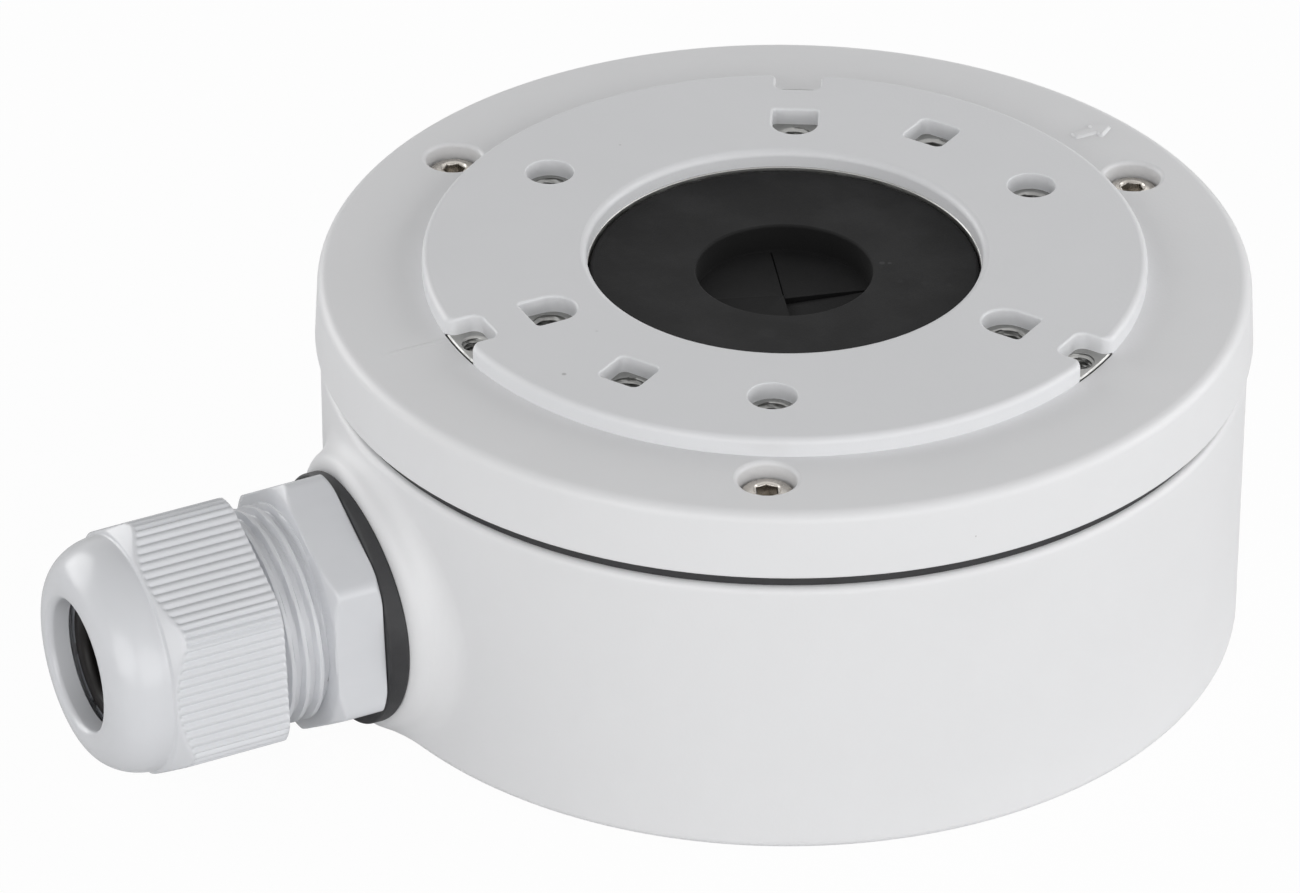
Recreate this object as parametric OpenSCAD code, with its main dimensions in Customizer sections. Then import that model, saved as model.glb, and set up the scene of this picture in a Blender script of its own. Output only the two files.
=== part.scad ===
// Round cast junction box for a camera: a housing with a side cable gland, and a screwed cover that
// carries a threaded mounting plate, a perforated face disc and a slit rubber grommet.
// The gland points along -Y, the wall side is at Z = 0 and the camera side faces +Z.

/* [Housing] */
// Radius of the cast housing
base_r = 49.5; // [46:0.5:56]
// Height of the housing, wall face to gasket face
base_h = 32.1; // [30:0.1:40]
// Thickness of the housing wall
wall = 3.2; // [2.4:0.1:4]
// Thickness of the housing floor
floor_t = 2.5; // [2:0.1:4]
// Rounding of the lower outside edge
base_round = 1.0; // [0.4:0.1:2]
// Rounding of the housing's upper edge
rim_round = 0.8; // [0.3:0.1:0.8]
// Radius of the posts that take the cover screws
post_r = 4.3; // [3.8:0.1:5]
// Diameter of the wall fixing holes
wall_hole_d = 5; // [4:0.1:6]
// Distance of the wall fixing holes in from the housing wall
wall_hole_in = 13.5; // [10:0.5:20]
// Radius of the raised pads round the wall fixing holes
wall_pad_r = 5; // [4:0.1:6]
// Height of those pads above the floor
wall_pad_h = 1.2; // [0.5:0.1:3]

/* [Cover] */
// Thickness of the gasket between housing and cover
gasket_t = 1.5; // [1:0.1:2.5]
// Depth by which the gasket sits back from the housing wall
gasket_inset = 0.8; // [0.2:0.1:1]
// Overhang of the cover's lower edge over the housing wall
cover_lip = 0.5; // [0.2:0.1:1.5]
// Height of the cover's side wall
cover_h = 7.5; // [7:0.1:12]
// Draft of the cover's side wall
cover_draft = 0.35; // [0:0.05:1]
// Rounding of the cover's upper edge
cover_round = 1.3; // [0.6:0.1:2.5]
// Thickness of the cover web under the mounting plate
web_t = 3.2; // [2.6:0.1:4]
// Height of the locating rim below the cover's edge
rim_h = 2.4; // [1.8:0.1:3]
// Thickness of the locating rim
rim_t = 1.2; // [0.8:0.1:2]
// Rounding of the recess mouth that leaves a groove round the face disc
recess_round = 0.7; // [0.3:0.1:1]

/* [Face disc] */
// Distance of the disc's edge in from the housing wall
disc_in = 11; // [10.5:0.1:13]
// Width of the disc's band, from its edge to the centre opening
disc_w = 17.5; // [16:0.1:19]
// Thickness of the face disc
disc_t = 1.95; // [1.5:0.05:3]
// Rounding of the disc's outer and inner edges
disc_round = 0.9; // [0.3:0.1:1.2]
// Distance of the round and square windows in from the disc's edge
window_in = 8.5; // [7.5:0.1:10]
// Diameter of the round windows
window_d = 4.8; // [4:0.1:5.4]
// Rounding of the round windows' edge
window_round = 0.4; // [0.2:0.1:0.6]
// Side of the square windows
square_w = 4.7; // [4:0.1:5.4]
// Corner radius of the square windows
square_round = 0.8; // [0.4:0.1:1.2]
// Distance of the arched windows in from the disc's edge
arch_in = 10.9; // [10:0.1:11.5]
// Width of the arched windows
arch_w = 5; // [4:0.1:5.4]
// Length of the arched windows
arch_l = 5.5; // [5:0.1:6]
// Depth of the rim notches, in from the disc's edge
notch_in = 3.7; // [3:0.1:4.5]
// Width of the rim notches
notch_w = 5; // [4:0.1:6]
// Distance of the disc's pegs in from its edge
peg_in = 3.3; // [3:0.1:4]
// Radius of the pegs
peg_r = 2.1; // [1.8:0.1:2.2]

/* [Mounting plate] */
// Thickness of the threaded plate
plate_t = 2; // [1.5:0.1:2.6]
// Height of the plate's face above the cover's rim face
plate_proud = 0.15; // [0:0.05:0.4]
// Gap between the plate's edge and the cover's recess
plate_gap = 0.4; // [0.2:0.1:0.8]
// Step from the disc's centre opening in to the plate's
plate_step = 0.4; // [0.2:0.1:1]
// Step from the plate's centre opening in to that of the cover's web
web_step = 1.1; // [0.8:0.1:2]
// Thread hole radius of the plate's camera screws
thread_r = 1.65; // [1.2:0.05:2]
// Thread hole radius at the rim notches
notch_thread_r = 1.35; // [1:0.05:1.5]
// Distance of the notches' thread holes in from the disc's edge
notch_thread_in = 2.2; // [2:0.1:2.5]

/* [Grommet] */
// Depth of the rubber's face below the plate's face
grommet_drop = 0.65; // [0:0.05:1]
// Width of the grommet's holding flange outside the plate's bore
flange_w = 2.9; // [2:0.1:3.5]
// Thickness of the flange
flange_t = 1.6; // [1:0.1:1.8]
// Thickness of the grommet's skin
grommet_skin = 1.7; // [1.2:0.1:2.2]
// Width of the grommet's flat land round the pocket
land_w = 10.8; // [9:0.1:12]
// Depth of the pocket
pocket_d = 3.3; // [1.5:0.1:3.6]
// Thickness of the membrane
membrane_t = 1.1; // [0.6:0.1:1.5]
// Width of the cross slit in the membrane
slit_w = 0.25; // [0.1:0.05:0.5]
// Clear distance from the ends of the slit to the pocket's wall
slit_end = 0.6; // [0.3:0.1:3]
// Turn of the cross slit
slit_turn = 71; // [0:1:90]
// Thickness of the skirt that hangs through the cover's web
skirt_t = 1.7; // [1.2:0.1:2.2]
// Height of the skirt below the web
skirt_drop = 1; // [0.5:0.1:3]

/* [Screws] */
// Distance of the cover screws in from the housing wall
screw_in = 6.9; // [6.4:0.1:7.3]
// Radius of the cover screws' shank
screw_r = 1.5; // [1.2:0.05:1.7]
// Radius of the cover screws' head
screw_head_r = 2.85; // [2.4:0.05:3]
// Height of the cover screws' head
screw_head_h = 1.65; // [1.2:0.05:2]
// Depth of the screw heads below the cover's face
screw_sink = 2.2; // [1.5:0.1:2.6]
// Length of the cover screws under the head
screw_l = 14; // [11:0.5:18]
// Rounding of the counterbores' mouths
sink_round = 0.5; // [0.2:0.1:0.8]
// Side to side size of the screws' hexagon sockets
socket_af = 2; // [1.5:0.1:2.5]
// Radius of the disc screws' shank
disc_screw_r = 1.1; // [0.8:0.05:1.2]
// Radius of the disc screws' head
disc_screw_head_r = 2.8; // [2.6:0.1:3.2]
// Height of the disc screws' head
disc_screw_head_h = 1.6; // [1.2:0.1:2]
// Thickness of the sealing rings on the cover screws
ring_t = 1.2; // [0.8:0.1:1.4]

/* [Cable gland] */
// Height of the gland's axis above the wall face
gland_z = 14.8; // [14.7:0.1:17]
// Radius of the cast boss round the gland's thread
boss_r = 15.2; // [14.5:0.1:16]
// Rounding of the boss face's edge
boss_round = 1.6; // [0.5:0.1:1.7]
// Distance of the boss face out from the housing wall
boss_proud = 1.8; // [1:0.1:4]
// Depth of the boss behind the housing wall's outer face
boss_depth = 8.5; // [6:0.5:12]
// Radius of the fillet at the boss's foot
boss_flare = 5; // [2:0.5:7]
// Outer radius of the thread that screws into the boss
entry_r = 10; // [9:0.1:10.5]
// Length of the thread that screws into the boss
entry_l = 11; // [9:0.5:12]
// Radius of the gland's clear passage
pass_r = 7; // [5.5:0.1:7.1]
// Thickness of the flat gland washer
washer_t = 2; // [1:0.1:2.5]
// Radius of the flat gland washer
washer_r = 13.6; // [12.8:0.1:14]
// Side to side size of the gland body's hexagon
hex_af = 25.6; // [24.6:0.1:27]
// Length of the gland body's hexagon
hex_l = 5.6; // [5:0.1:7]
// Radial depth that the hexagon's corners are turned down
hex_turned = 0.25; // [0.1:0.05:0.6]
// Radial depth of the chamfers on the hexagon's two faces
hex_chamfer = 1.3; // [0.6:0.1:1.6]
// Turn of both hexagons from a flat at the side
hex_turn = 34.5; // [0:0.5:60]
// Crest radius of the nut's thread
nut_thread_r = 11.65; // [11.5:0.05:11.8]
// Pitch of the nut's thread
nut_pitch = 1.6; // [1.4:0.1:2]
// Depth of the nut's thread
nut_thread_h = 0.75; // [0.5:0.05:0.9]
// Length of the nut's thread
nut_thread_l = 11.6; // [10:0.1:12]
// Gap between the gland body's hexagon and the nut
nut_gap = 5.7; // [5:0.1:6.5]
// Length of the nut's gripped part
grip_l = 12.45; // [10:0.05:13]
// Side to side size of the nut, over the ribs
nut_af = 26.2; // [26:0.1:26.4]
// Height of the grip ribs
rib_h = 0.35; // [0.2:0.05:0.5]
// Depth of the nut's thread bore that is left clear of the thread
nut_relief = 2; // [1:0.5:3]
// Length of the nut's dome
dome_l = 5.95; // [5:0.05:7.5]
// Radius of the cable mouth
mouth_r = 7.1; // [6.5:0.1:8]
// Rounding of the cable mouth's lip
lip_r = 0.8; // [0.4:0.1:1]

/* [Cable clamp] */
// Outer radius of the clamping cage's collar
cage_r = 9.3; // [9:0.1:9.4]
// Length of the cage's collar
cage_collar = 3; // [2:0.5:4]
// Length of the straight part of the fingers
finger_l = 4; // [3:0.5:5]
// Number of the clamping fingers
fingers = 8; // [6:1:12]
// Width of the gaps between the fingers
finger_gap = 1.2; // [0.8:0.1:1.6]
// Distance from the gland body's hexagon to the cage
cage_lead = 4.6; // [4:0.1:6]
// Travel that the gland body leaves behind the cage
cage_travel = 3.4; // [3:0.1:4]
// Depth of the fingers' tips behind the nut's mouth
tip_sink = 3.2; // [3:0.1:4]
// Inner radius of the rubber seal
seal_bore_r = 5; // [3.5:0.1:5.4]
// Thickness of the rubber seal
seal_t = 2.45; // [2:0.05:3]

/* [Earth terminal] */
// Distance of the earth terminal in from the housing wall
earth_in = 11.5; // [10.5:0.5:15]
// Height of the earth terminal's post above the wall face
earth_h = 12; // [8:0.5:16]
// Radius of the earth screw's shank
earth_r = 2; // [1.5:0.1:2.2]
// Radius of the earth screw's head
earth_head_r = 3.5; // [3:0.1:4]
// Height of the earth screw's head
earth_head_h = 2.2; // [1.6:0.1:3]
// Length of the earth screw's shank
earth_l = 9; // [6:0.5:10]
// Side to side size of the earth screw's socket
earth_af = 2.5; // [2:0.5:3]
// Radius of the earth terminal's toothed washer
earth_washer_r = 3.8; // [3.5:0.1:4]
// Thickness of that washer
earth_washer_t = 0.8; // [0.5:0.1:1.2]
// Margin of the earth terminal's post round the washer
earth_land = 0.4; // [0.2:0.1:1]

/* [Hidden] */

$fn = 96;
// Radial play of a screw in its threaded hole, and of parts that turn in each other
run_gap = 0.05;
// Play round parts that only pass through or drop in
fit_gap = 0.2;
// Overrun of a cut past the face that it opens
cut = 1;
// Segments of a rounded edge in a turned profile
round_n = 6;

// Heights of the stack, from the wall face up
gasket_z = base_h;
cover_z = gasket_z + gasket_t;
rim_z = cover_z + cover_h;
plate_top = rim_z + plate_proud;
plate_z = plate_top - plate_t;
disc_top = plate_top + disc_t;
web_z = plate_z - web_t;
rubber_top = plate_top - grommet_drop;

// Radii that follow from the driving sizes
inner_r = base_r - wall;
cover_r = base_r + cover_lip;
disc_r = base_r - disc_in;
disc_bore_r = disc_r - disc_w;
plate_bore_r = disc_bore_r - plate_step;
recess_r = disc_r + fit_gap;
plate_r = recess_r - plate_gap;
flange_r = plate_bore_r + flange_w;
neck_r = plate_bore_r - 2 * fit_gap;
web_bore_r = plate_bore_r - web_step;
skirt_r = web_bore_r - fit_gap;
pocket_r = neck_r - land_w;

// Places on the disc and the plate, and on the housing's floor
window_at = disc_r - window_in;
arch_at = disc_r - arch_in;
notch_at = disc_r - notch_in;
peg_at = disc_r - peg_in;
notch_thread_at = disc_r - notch_thread_in;
wall_hole_at = base_r - wall_hole_in;
earth_at = base_r - earth_in;

// Cover screws: place, seat of the head and hole sizes
screw_at = base_r - screw_in;
bore_r = screw_head_r + fit_gap;
seat_z = rim_z - screw_sink - screw_head_h;
clear_r = screw_r + fit_gap;
screw_bottom = seat_z - screw_l;
ring_r = ring_t / 2;
eyelet_bore_r = screw_r + run_gap + ring_t + fit_gap;
eyelet_r = eyelet_bore_r + 1;
screw_angles = [90, 210, 330];
arch_angles = [30, 150, 270];
square_angles = [120, 300];
peg_angles = [60, 180, 300];
wall_angles = [45, 135, 225, 315];

// Stations along the gland's axis, from the box's centre out
boss_face = base_r + boss_proud;
boss_in = base_r - boss_depth;
hex_s = boss_face + washer_t;
hex_end = hex_s + hex_l;
nut_s = hex_end + nut_gap;
grip_end = nut_s + grip_l;
nut_end = grip_end + dome_l;
thread_end = hex_end + nut_thread_l;
cage_s = hex_end + cage_lead;
tip_s = nut_end - tip_sink;
hex_top_r = hex_af / 2 / cos(30) - hex_turned;
cage_bore_r = seal_bore_r + seal_t + run_gap;

// The nut's outline: a hexagon with round corners, its edge raised into fine ribs
corner_round = 3.4;
rib_flat = 11;
rib_corner = 4;
nut_apothem = nut_af / 2;
nut_cr = nut_apothem / cos(30);
dome_r0 = mouth_r + 1.1;
dome_r1 = nut_apothem - rib_h - 0.05;
dome_s = grip_end;
flat_half = (nut_apothem - corner_round) * tan(30);

// Points of an arc, for rounded edges in turned profiles
function arc(cx, cy, r, a0, a1) =
    [for (i = [0:round_n]) let (a = a0 + (a1 - a0) * i / round_n) [cx + r * cos(a), cy + r * sin(a)]];

// Moves children to a place round the box's axis
module polar(r, a, z = 0) {
    rotate([0, 0, a]) translate([r, 0, z]) children();
}

// Turns children so that their Z runs out along the gland's axis
module along_gland() {
    translate([0, 0, gland_z]) rotate([90, 0, 0]) children();
}

// Straight bore with a softly rounded mouth at its top
module rounded_bore(r, z0, z1, soft) {
    rotate_extrude()
        polygon(concat([[0, z0], [r, z0]], arc(r + soft, z1 - soft, soft, 180, 90),
            [[r + soft, z1 + cut], [0, z1 + cut]]));
}

// Square prism with round upright edges, centred on the axis
module soft_square(w, round, h) {
    union() {
        translate([-w / 2, round - w / 2, 0]) cube([w, w - 2 * round, h]);
        translate([round - w / 2, -w / 2, 0]) cube([w - 2 * round, w, h]);
        for (x = [-1, 1], y = [-1, 1])
            translate([x * (w / 2 - round), y * (w / 2 - round), 0]) cylinder(r = round, h = h, $fn = 24);
    }
}

// Arched prism: half round towards the box's centre, square outside
module arch(w, l, h) {
    union() {
        translate([w / 2 - l / 2, 0, 0]) cylinder(d = w, h = h, $fn = 48);
        translate([w / 2 - l / 2, -w / 2, 0]) cube([l - w / 2, w, h]);
    }
}

// Head with a domed top and a hexagon socket, seated at Z = 0
module socket_head(r, h, af) {
    difference() {
        rotate_extrude() polygon(concat(
            [[0, 0], [r, 0], [r, h * 0.3]], arc(r - h * 0.7, h * 0.3, h * 0.7, 0, 90), [[0, h]]));
        translate([0, 0, h * 0.35]) cylinder(r = af / 2 / cos(30), h = h, $fn = 6);
    }
}

// Hexagon prism standing on the gland's axis, turned like the real one
module gland_hex(af, s0, s1) {
    translate([0, 0, s0]) rotate([0, 0, hex_turn]) cylinder(r = af / 2 / cos(30), h = s1 - s0, $fn = 6);
}

// Cast boss with a flared foot that runs out into the round wall
module boss_outside() {
    along_gland() rotate_extrude()
        polygon(concat([[0, boss_in], [boss_r + boss_flare, boss_in]],
            arc(boss_r + boss_flare, base_r, boss_flare, 270, 180),
            arc(boss_r - boss_round, boss_face - boss_round, boss_round, 0, 90), [[0, boss_face]]));
}

module base_housing() color("white") difference() {
    union() {
        difference() {
            union() {
                rotate_extrude()
                    polygon(concat([[0, 0]], arc(base_r - base_round, base_round, base_round, 270, 360),
                        arc(base_r - rim_round, base_h - rim_round, rim_round, 0, 90), [[0, base_h]]));
                intersection() {
                    boss_outside();
                    translate([-base_r, -2 * base_r, 0]) cube([2 * base_r, 2 * base_r, base_h]);
                }
            }
            translate([0, 0, floor_t]) cylinder(r = inner_r, h = base_h);
        }
        intersection() {
            union() {
                along_gland() translate([0, 0, boss_in]) cylinder(r = boss_r - 1, h = base_r - boss_in - 1);
                for (a = screw_angles) polar(screw_at, a) cylinder(r = post_r, h = base_h);
                for (a = wall_angles) polar(wall_hole_at, a)
                    cylinder(r = wall_pad_r, h = floor_t + wall_pad_h);
                polar(earth_at, 0) cylinder(r = earth_washer_r + earth_land, h = earth_h);
                translate([earth_at, -earth_r, 0]) cube([base_r - earth_at - wall / 2, 2 * earth_r, earth_h]);
            }
            cylinder(r = base_r - wall / 2, h = base_h);
        }
    }
    along_gland() translate([0, 0, boss_in - cut])
        cylinder(r = entry_r + run_gap, h = boss_face - boss_in + 2 * cut);
    for (a = screw_angles) polar(screw_at, a, screw_bottom - 1)
        cylinder(r = screw_r + run_gap, h = base_h - screw_bottom + 1 + cut);
    for (a = wall_angles) polar(wall_hole_at, a, -cut)
        cylinder(d = wall_hole_d, h = floor_t + wall_pad_h + 2 * cut);
    polar(earth_at, 0, floor_t) cylinder(r = earth_r + run_gap, h = earth_h);
}

module cover_gasket() color("dimgray") translate([0, 0, gasket_z]) difference() {
    cylinder(r = base_r - gasket_inset, h = gasket_t);
    difference() {
        translate([0, 0, -cut]) cylinder(r = inner_r, h = gasket_t + 2 * cut);
        for (a = screw_angles) polar(screw_at, a, -2 * cut) cylinder(r = eyelet_r, h = gasket_t + 4 * cut);
    }
    for (a = screw_angles) polar(screw_at, a, -cut) cylinder(r = eyelet_bore_r, h = gasket_t + 2 * cut);
}

module cover_ring() color("white") difference() {
    union() {
        rotate_extrude() polygon(concat([[inner_r, cover_z], [cover_r, cover_z]],
            arc(cover_r - cover_draft - cover_round, rim_z - cover_round, cover_round, 0, 90),
            [[0, rim_z], [0, web_z], [inner_r, web_z]]));
        difference() {
            translate([0, 0, cover_z - rim_h]) cylinder(r = inner_r - fit_gap, h = rim_h + cover_h / 2);
            translate([0, 0, cover_z - rim_h - cut])
                cylinder(r = inner_r - fit_gap - rim_t, h = rim_h + cover_h);
            for (a = screw_angles) polar(screw_at, a, cover_z - rim_h - cut)
                cylinder(r = max(post_r, eyelet_r) + 2 * fit_gap, h = rim_h + cut);
        }
        intersection() {
            for (a = screw_angles) polar(screw_at, a, cover_z)
                cylinder(r = post_r, h = rim_z - cover_z - cover_round);
            cylinder(r = inner_r + wall / 2, h = rim_z);
        }
    }
    rounded_bore(recess_r, plate_z, rim_z, recess_round);
    translate([0, 0, plate_z - flange_t]) cylinder(r = flange_r + fit_gap, h = flange_t + cut);
    translate([0, 0, web_z - cut]) cylinder(r = web_bore_r, h = web_t + cut);
    for (a = screw_angles) polar(screw_at, a) {
        rounded_bore(bore_r, seat_z, rim_z, sink_round);
        translate([0, 0, cover_z - cut]) cylinder(r = clear_r, h = cover_h);
    }
    plate_holes(thread_r + 0.8, notch_thread_r + 0.6, peg_r + fit_gap, web_z - cut, web_t + 2 * cut);
}

// Holes on the plate's pattern: camera threads, notch threads and the disc's pegs
module plate_holes(r, notch_r, peg_hole_r, z, h) {
    for (a = screw_angles) polar(window_at, a, z) cylinder(r = r, h = h);
    for (a = square_angles) polar(window_at, a, z) cylinder(r = r, h = h);
    for (a = arch_angles) polar(arch_at, a, z) cylinder(r = r, h = h);
    for (a = arch_angles) polar(notch_thread_at, a, z) cylinder(r = notch_r, h = h);
    for (a = peg_angles) polar(peg_at, a, z) cylinder(r = peg_hole_r, h = h);
}

module mounting_plate() color("silver") difference() {
    translate([0, 0, plate_z]) cylinder(r = plate_r, h = plate_t);
    translate([0, 0, plate_z - cut]) cylinder(r = plate_bore_r, h = plate_t + 2 * cut);
    plate_holes(thread_r, notch_thread_r, peg_r + fit_gap, plate_z - cut, plate_t + 2 * cut);
}

module face_disc() color("white") difference() {
    union() {
        rotate_extrude() polygon(concat([[disc_bore_r, plate_top], [disc_r, plate_top]],
            arc(disc_r - disc_round, disc_top - disc_round, disc_round, 0, 90),
            arc(disc_bore_r + disc_round, disc_top - disc_round, disc_round, 90, 180)));
        for (a = peg_angles) polar(peg_at, a, web_z + fit_gap) cylinder(r = peg_r, h = plate_top - web_z);
    }
    for (a = screw_angles) polar(window_at, a)
        rounded_bore(window_d / 2, plate_top - cut, disc_top, window_round);
    for (a = square_angles) polar(window_at, a, plate_top - cut)
        soft_square(square_w, square_round, disc_t + 2 * cut);
    for (a = arch_angles) polar(arch_at, a, plate_top - cut) arch(arch_w, arch_l, disc_t + 2 * cut);
    for (a = arch_angles) polar(notch_at, a, plate_top - cut)
        translate([0, -notch_w / 2, 0]) cube([disc_r, notch_w, disc_t + 2 * cut]);
    for (a = peg_angles) polar(peg_at, a, web_z)
        cylinder(r = disc_screw_r + run_gap, h = plate_top - web_z + disc_t / 3);
}

module cable_grommet() color("#2c2c2e") difference() {
    rotate_extrude() polygon([
        [0, rubber_top - pocket_d - membrane_t],
        [pocket_r + grommet_skin, rubber_top - pocket_d - membrane_t],
        [pocket_r + grommet_skin, rubber_top - grommet_skin], [skirt_r - skirt_t, rubber_top - grommet_skin],
        [skirt_r - skirt_t, web_z - skirt_drop], [skirt_r, web_z - skirt_drop],
        [skirt_r, plate_z - flange_t], [flange_r, plate_z - flange_t], [flange_r, plate_z], [neck_r, plate_z],
        [neck_r, rubber_top - 0.3], [neck_r - 0.3, rubber_top], [pocket_r, rubber_top],
        [pocket_r, rubber_top - pocket_d], [0, rubber_top - pocket_d]]);
    for (a = [slit_turn, slit_turn + 90]) rotate([0, 0, a]) translate([slit_end - pocket_r, -slit_w / 2, 0])
        cube([2 * (pocket_r - slit_end), slit_w, rubber_top]);
}

module cover_screw(i) color("silver") polar(screw_at, screw_angles[i], seat_z) {
    socket_head(screw_head_r, screw_head_h, socket_af);
    translate([0, 0, -screw_l]) cylinder(r1 = screw_r * 0.8, r2 = screw_r, h = screw_r * 0.4, $fn = 48);
    translate([0, 0, -screw_l + screw_r * 0.4]) cylinder(r = screw_r, h = screw_l - screw_r * 0.4, $fn = 48);
}

module screw_retainer(i) color("black") polar(screw_at, screw_angles[i], cover_z - ring_r - run_gap)
    rotate_extrude($fn = 48) translate([screw_r + run_gap + ring_r, 0]) circle(r = ring_r, $fn = 24);

module disc_screw(i) color("silver") polar(peg_at, peg_angles[i], web_z) rotate([180, 0, 0]) {
    socket_head(disc_screw_head_r, disc_screw_head_h, socket_af);
    translate([0, 0, 0.3 - plate_top + web_z]) cylinder(r = disc_screw_r, h = plate_top - web_z, $fn = 48);
}

// Threaded tube: round crests at every pitch, between two stations of the gland
module thread_tube(crest_r, depth, pitch, s0, s1) {
    turns = floor((s1 - s0) / pitch - 0.2);
    rotate_extrude() polygon(concat([[0, s0]], [[crest_r - depth, s0]],
        [for (i = [0:turns - 1], p = [[0, 0.15], [0.6, 0.3], [1, 0.42], [1, 0.62], [0.6, 0.74], [0, 0.9]])
            [crest_r - depth * (1 - p[0]), s0 + pitch * (i + p[1])]],
        [[crest_r - depth, s1], [0, s1]]));
}

module gland_body() color("#d4d8dd") along_gland() difference() {
    union() {
        intersection() {
            gland_hex(hex_af, hex_s, hex_end);
            rotate_extrude() polygon([[0, hex_s], [hex_top_r - hex_chamfer * 0.7, hex_s],
                [hex_top_r, hex_s + hex_chamfer * 0.5], [hex_top_r, hex_end - hex_chamfer * 0.6],
                [hex_top_r - hex_chamfer, hex_end], [0, hex_end]]);
        }
        translate([0, 0, boss_face - entry_l]) cylinder(r = entry_r, h = entry_l + washer_t + cut);
        thread_tube(nut_thread_r, nut_thread_h, nut_pitch, hex_end - 0.2, thread_end);
    }
    translate([0, 0, boss_in - cut]) cylinder(r = pass_r, h = nut_end - boss_in);
    translate([0, 0, cage_s - cage_travel]) cylinder(r = cage_r + run_gap, h = nut_end - cage_s);
}

module gland_washer() color("#2c2c2e") along_gland() translate([0, 0, boss_face]) difference() {
    cylinder(r = washer_r, h = washer_t);
    translate([0, 0, -cut]) cylinder(r = entry_r + run_gap, h = washer_t + 2 * cut);
}

// Clamping cage: a collar with tapered fingers that close round the seal
module clamping_cage() color("#d4d8dd") along_gland() difference() {
    rotate_extrude() polygon([[cage_bore_r, cage_s], [cage_r, cage_s],
        [cage_r, cage_s + cage_collar + finger_l], [cage_bore_r + 0.8, tip_s], [cage_bore_r, tip_s]]);
    for (i = [0:fingers - 1]) rotate([0, 0, (i + 0.5) * 360 / fingers])
        translate([0, -finger_gap / 2, cage_s + cage_collar]) cube([cage_r + cut, finger_gap, nut_end]);
}

module cable_seal() color("#3a3332") along_gland() rotate_extrude() polygon([
    [seal_bore_r, cage_s], [seal_bore_r + seal_t, cage_s], [seal_bore_r + seal_t, tip_s - fit_gap],
    [seal_bore_r + seal_t - 0.6, tip_s + 0.3], [seal_bore_r + 0.4, tip_s + 0.3], [seal_bore_r, tip_s - 0.1]]);

// Point on a flat of the nut's outline, at a distance u from the middle of that flat
function hex_point(side, u, apothem) = let (a = side * 60 + 30)
    [apothem * cos(a) - u * sin(a), apothem * sin(a) + u * cos(a)];

// Point on a round corner of the nut's outline, at a share t of the way round it
function corner_point(side, t, apothem) = let (a = side * 60 + 30 + t * 60, c = side * 60 + 60,
    k = (nut_apothem - corner_round) / cos(30), r = apothem - nut_apothem + corner_round)
    [k * cos(c) + r * cos(a), k * sin(c) + r * sin(a)];

function ribbed_hex(depth) = [for (side = [0:5]) each concat(
    [for (i = [0:2 * rib_flat - 1]) hex_point(side, -flat_half + 2 * flat_half * i / (2 * rib_flat),
        nut_apothem - (i % 2 == 0 ? depth : 0))],
    [for (i = [0:2 * rib_corner - 1]) corner_point(side, i / (2 * rib_corner),
        nut_apothem - (i % 2 == 0 ? depth : 0))])];

module gland_nut() color("#d4d8dd") along_gland() difference() {
    intersection() {
        union() {
            translate([0, 0, nut_s]) rotate([0, 0, hex_turn])
                linear_extrude(grip_l) polygon(ribbed_hex(rib_h));
            translate([0, 0, nut_s + 1]) cylinder(r = dome_r1 + 0.02, h = grip_l + dome_l - 1);
        }
        rotate_extrude() polygon(concat(
            [[0, nut_s], [nut_apothem, nut_s], [nut_cr, nut_s + 0.9],
                [nut_cr, grip_end - nut_cr + nut_apothem], [nut_apothem, grip_end]],
            [for (i = [0:12]) [dome_r0 + (dome_r1 - dome_r0) * cos(7.5 * i),
                dome_s + (nut_end - dome_s) * sin(7.5 * i)]],
            [[0, nut_end]]));
    }
    translate([0, 0, nut_s - cut]) cylinder(r = nut_thread_r + run_gap, h = nut_thread_l - nut_relief + cut);
    rotate_extrude() polygon(concat([[0, nut_s], [cage_r + 1, nut_s], [cage_r + 1, nut_s + nut_thread_l - 1],
        [mouth_r + 1.9, tip_s + fit_gap], [mouth_r, tip_s + lip_r]],
        arc(mouth_r + lip_r, nut_end - lip_r, lip_r, 180, 90),
        [[mouth_r + lip_r, nut_end + cut], [0, nut_end + cut]]));
}

module earth_screw() color("silver") translate([earth_at, 0, earth_h + earth_washer_t]) {
    socket_head(earth_head_r, earth_head_h, earth_af);
    translate([0, 0, -earth_l]) cylinder(r = earth_r, h = earth_l, $fn = 48);
}

module earth_washer() color("gold") translate([earth_at, 0, earth_h]) difference() {
    cylinder(r = earth_washer_r, h = earth_washer_t);
    translate([0, 0, -cut]) cylinder(r = earth_r + fit_gap, h = earth_washer_t + 2 * cut);
    for (i = [0:11]) rotate([0, 0, 30 * i]) translate([earth_washer_r, 0, -cut])
        cylinder(r = 0.45, h = earth_washer_t + 2 * cut, $fn = 16);
}

base_housing();
cover_gasket();
cover_ring();
face_disc();
mounting_plate();
cable_grommet();
for (i = [0:2]) {
    cover_screw(i);
    screw_retainer(i);
    disc_screw(i);
}
gland_body();
gland_washer();
clamping_cage();
cable_seal();
gland_nut();
earth_screw();
earth_washer();
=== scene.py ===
from math import atan2, cos, degrees, hypot, pi, radians, sin, sqrt, tan, tau

import bmesh
import bpy
from mathutils import Matrix, Vector, noise


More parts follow.
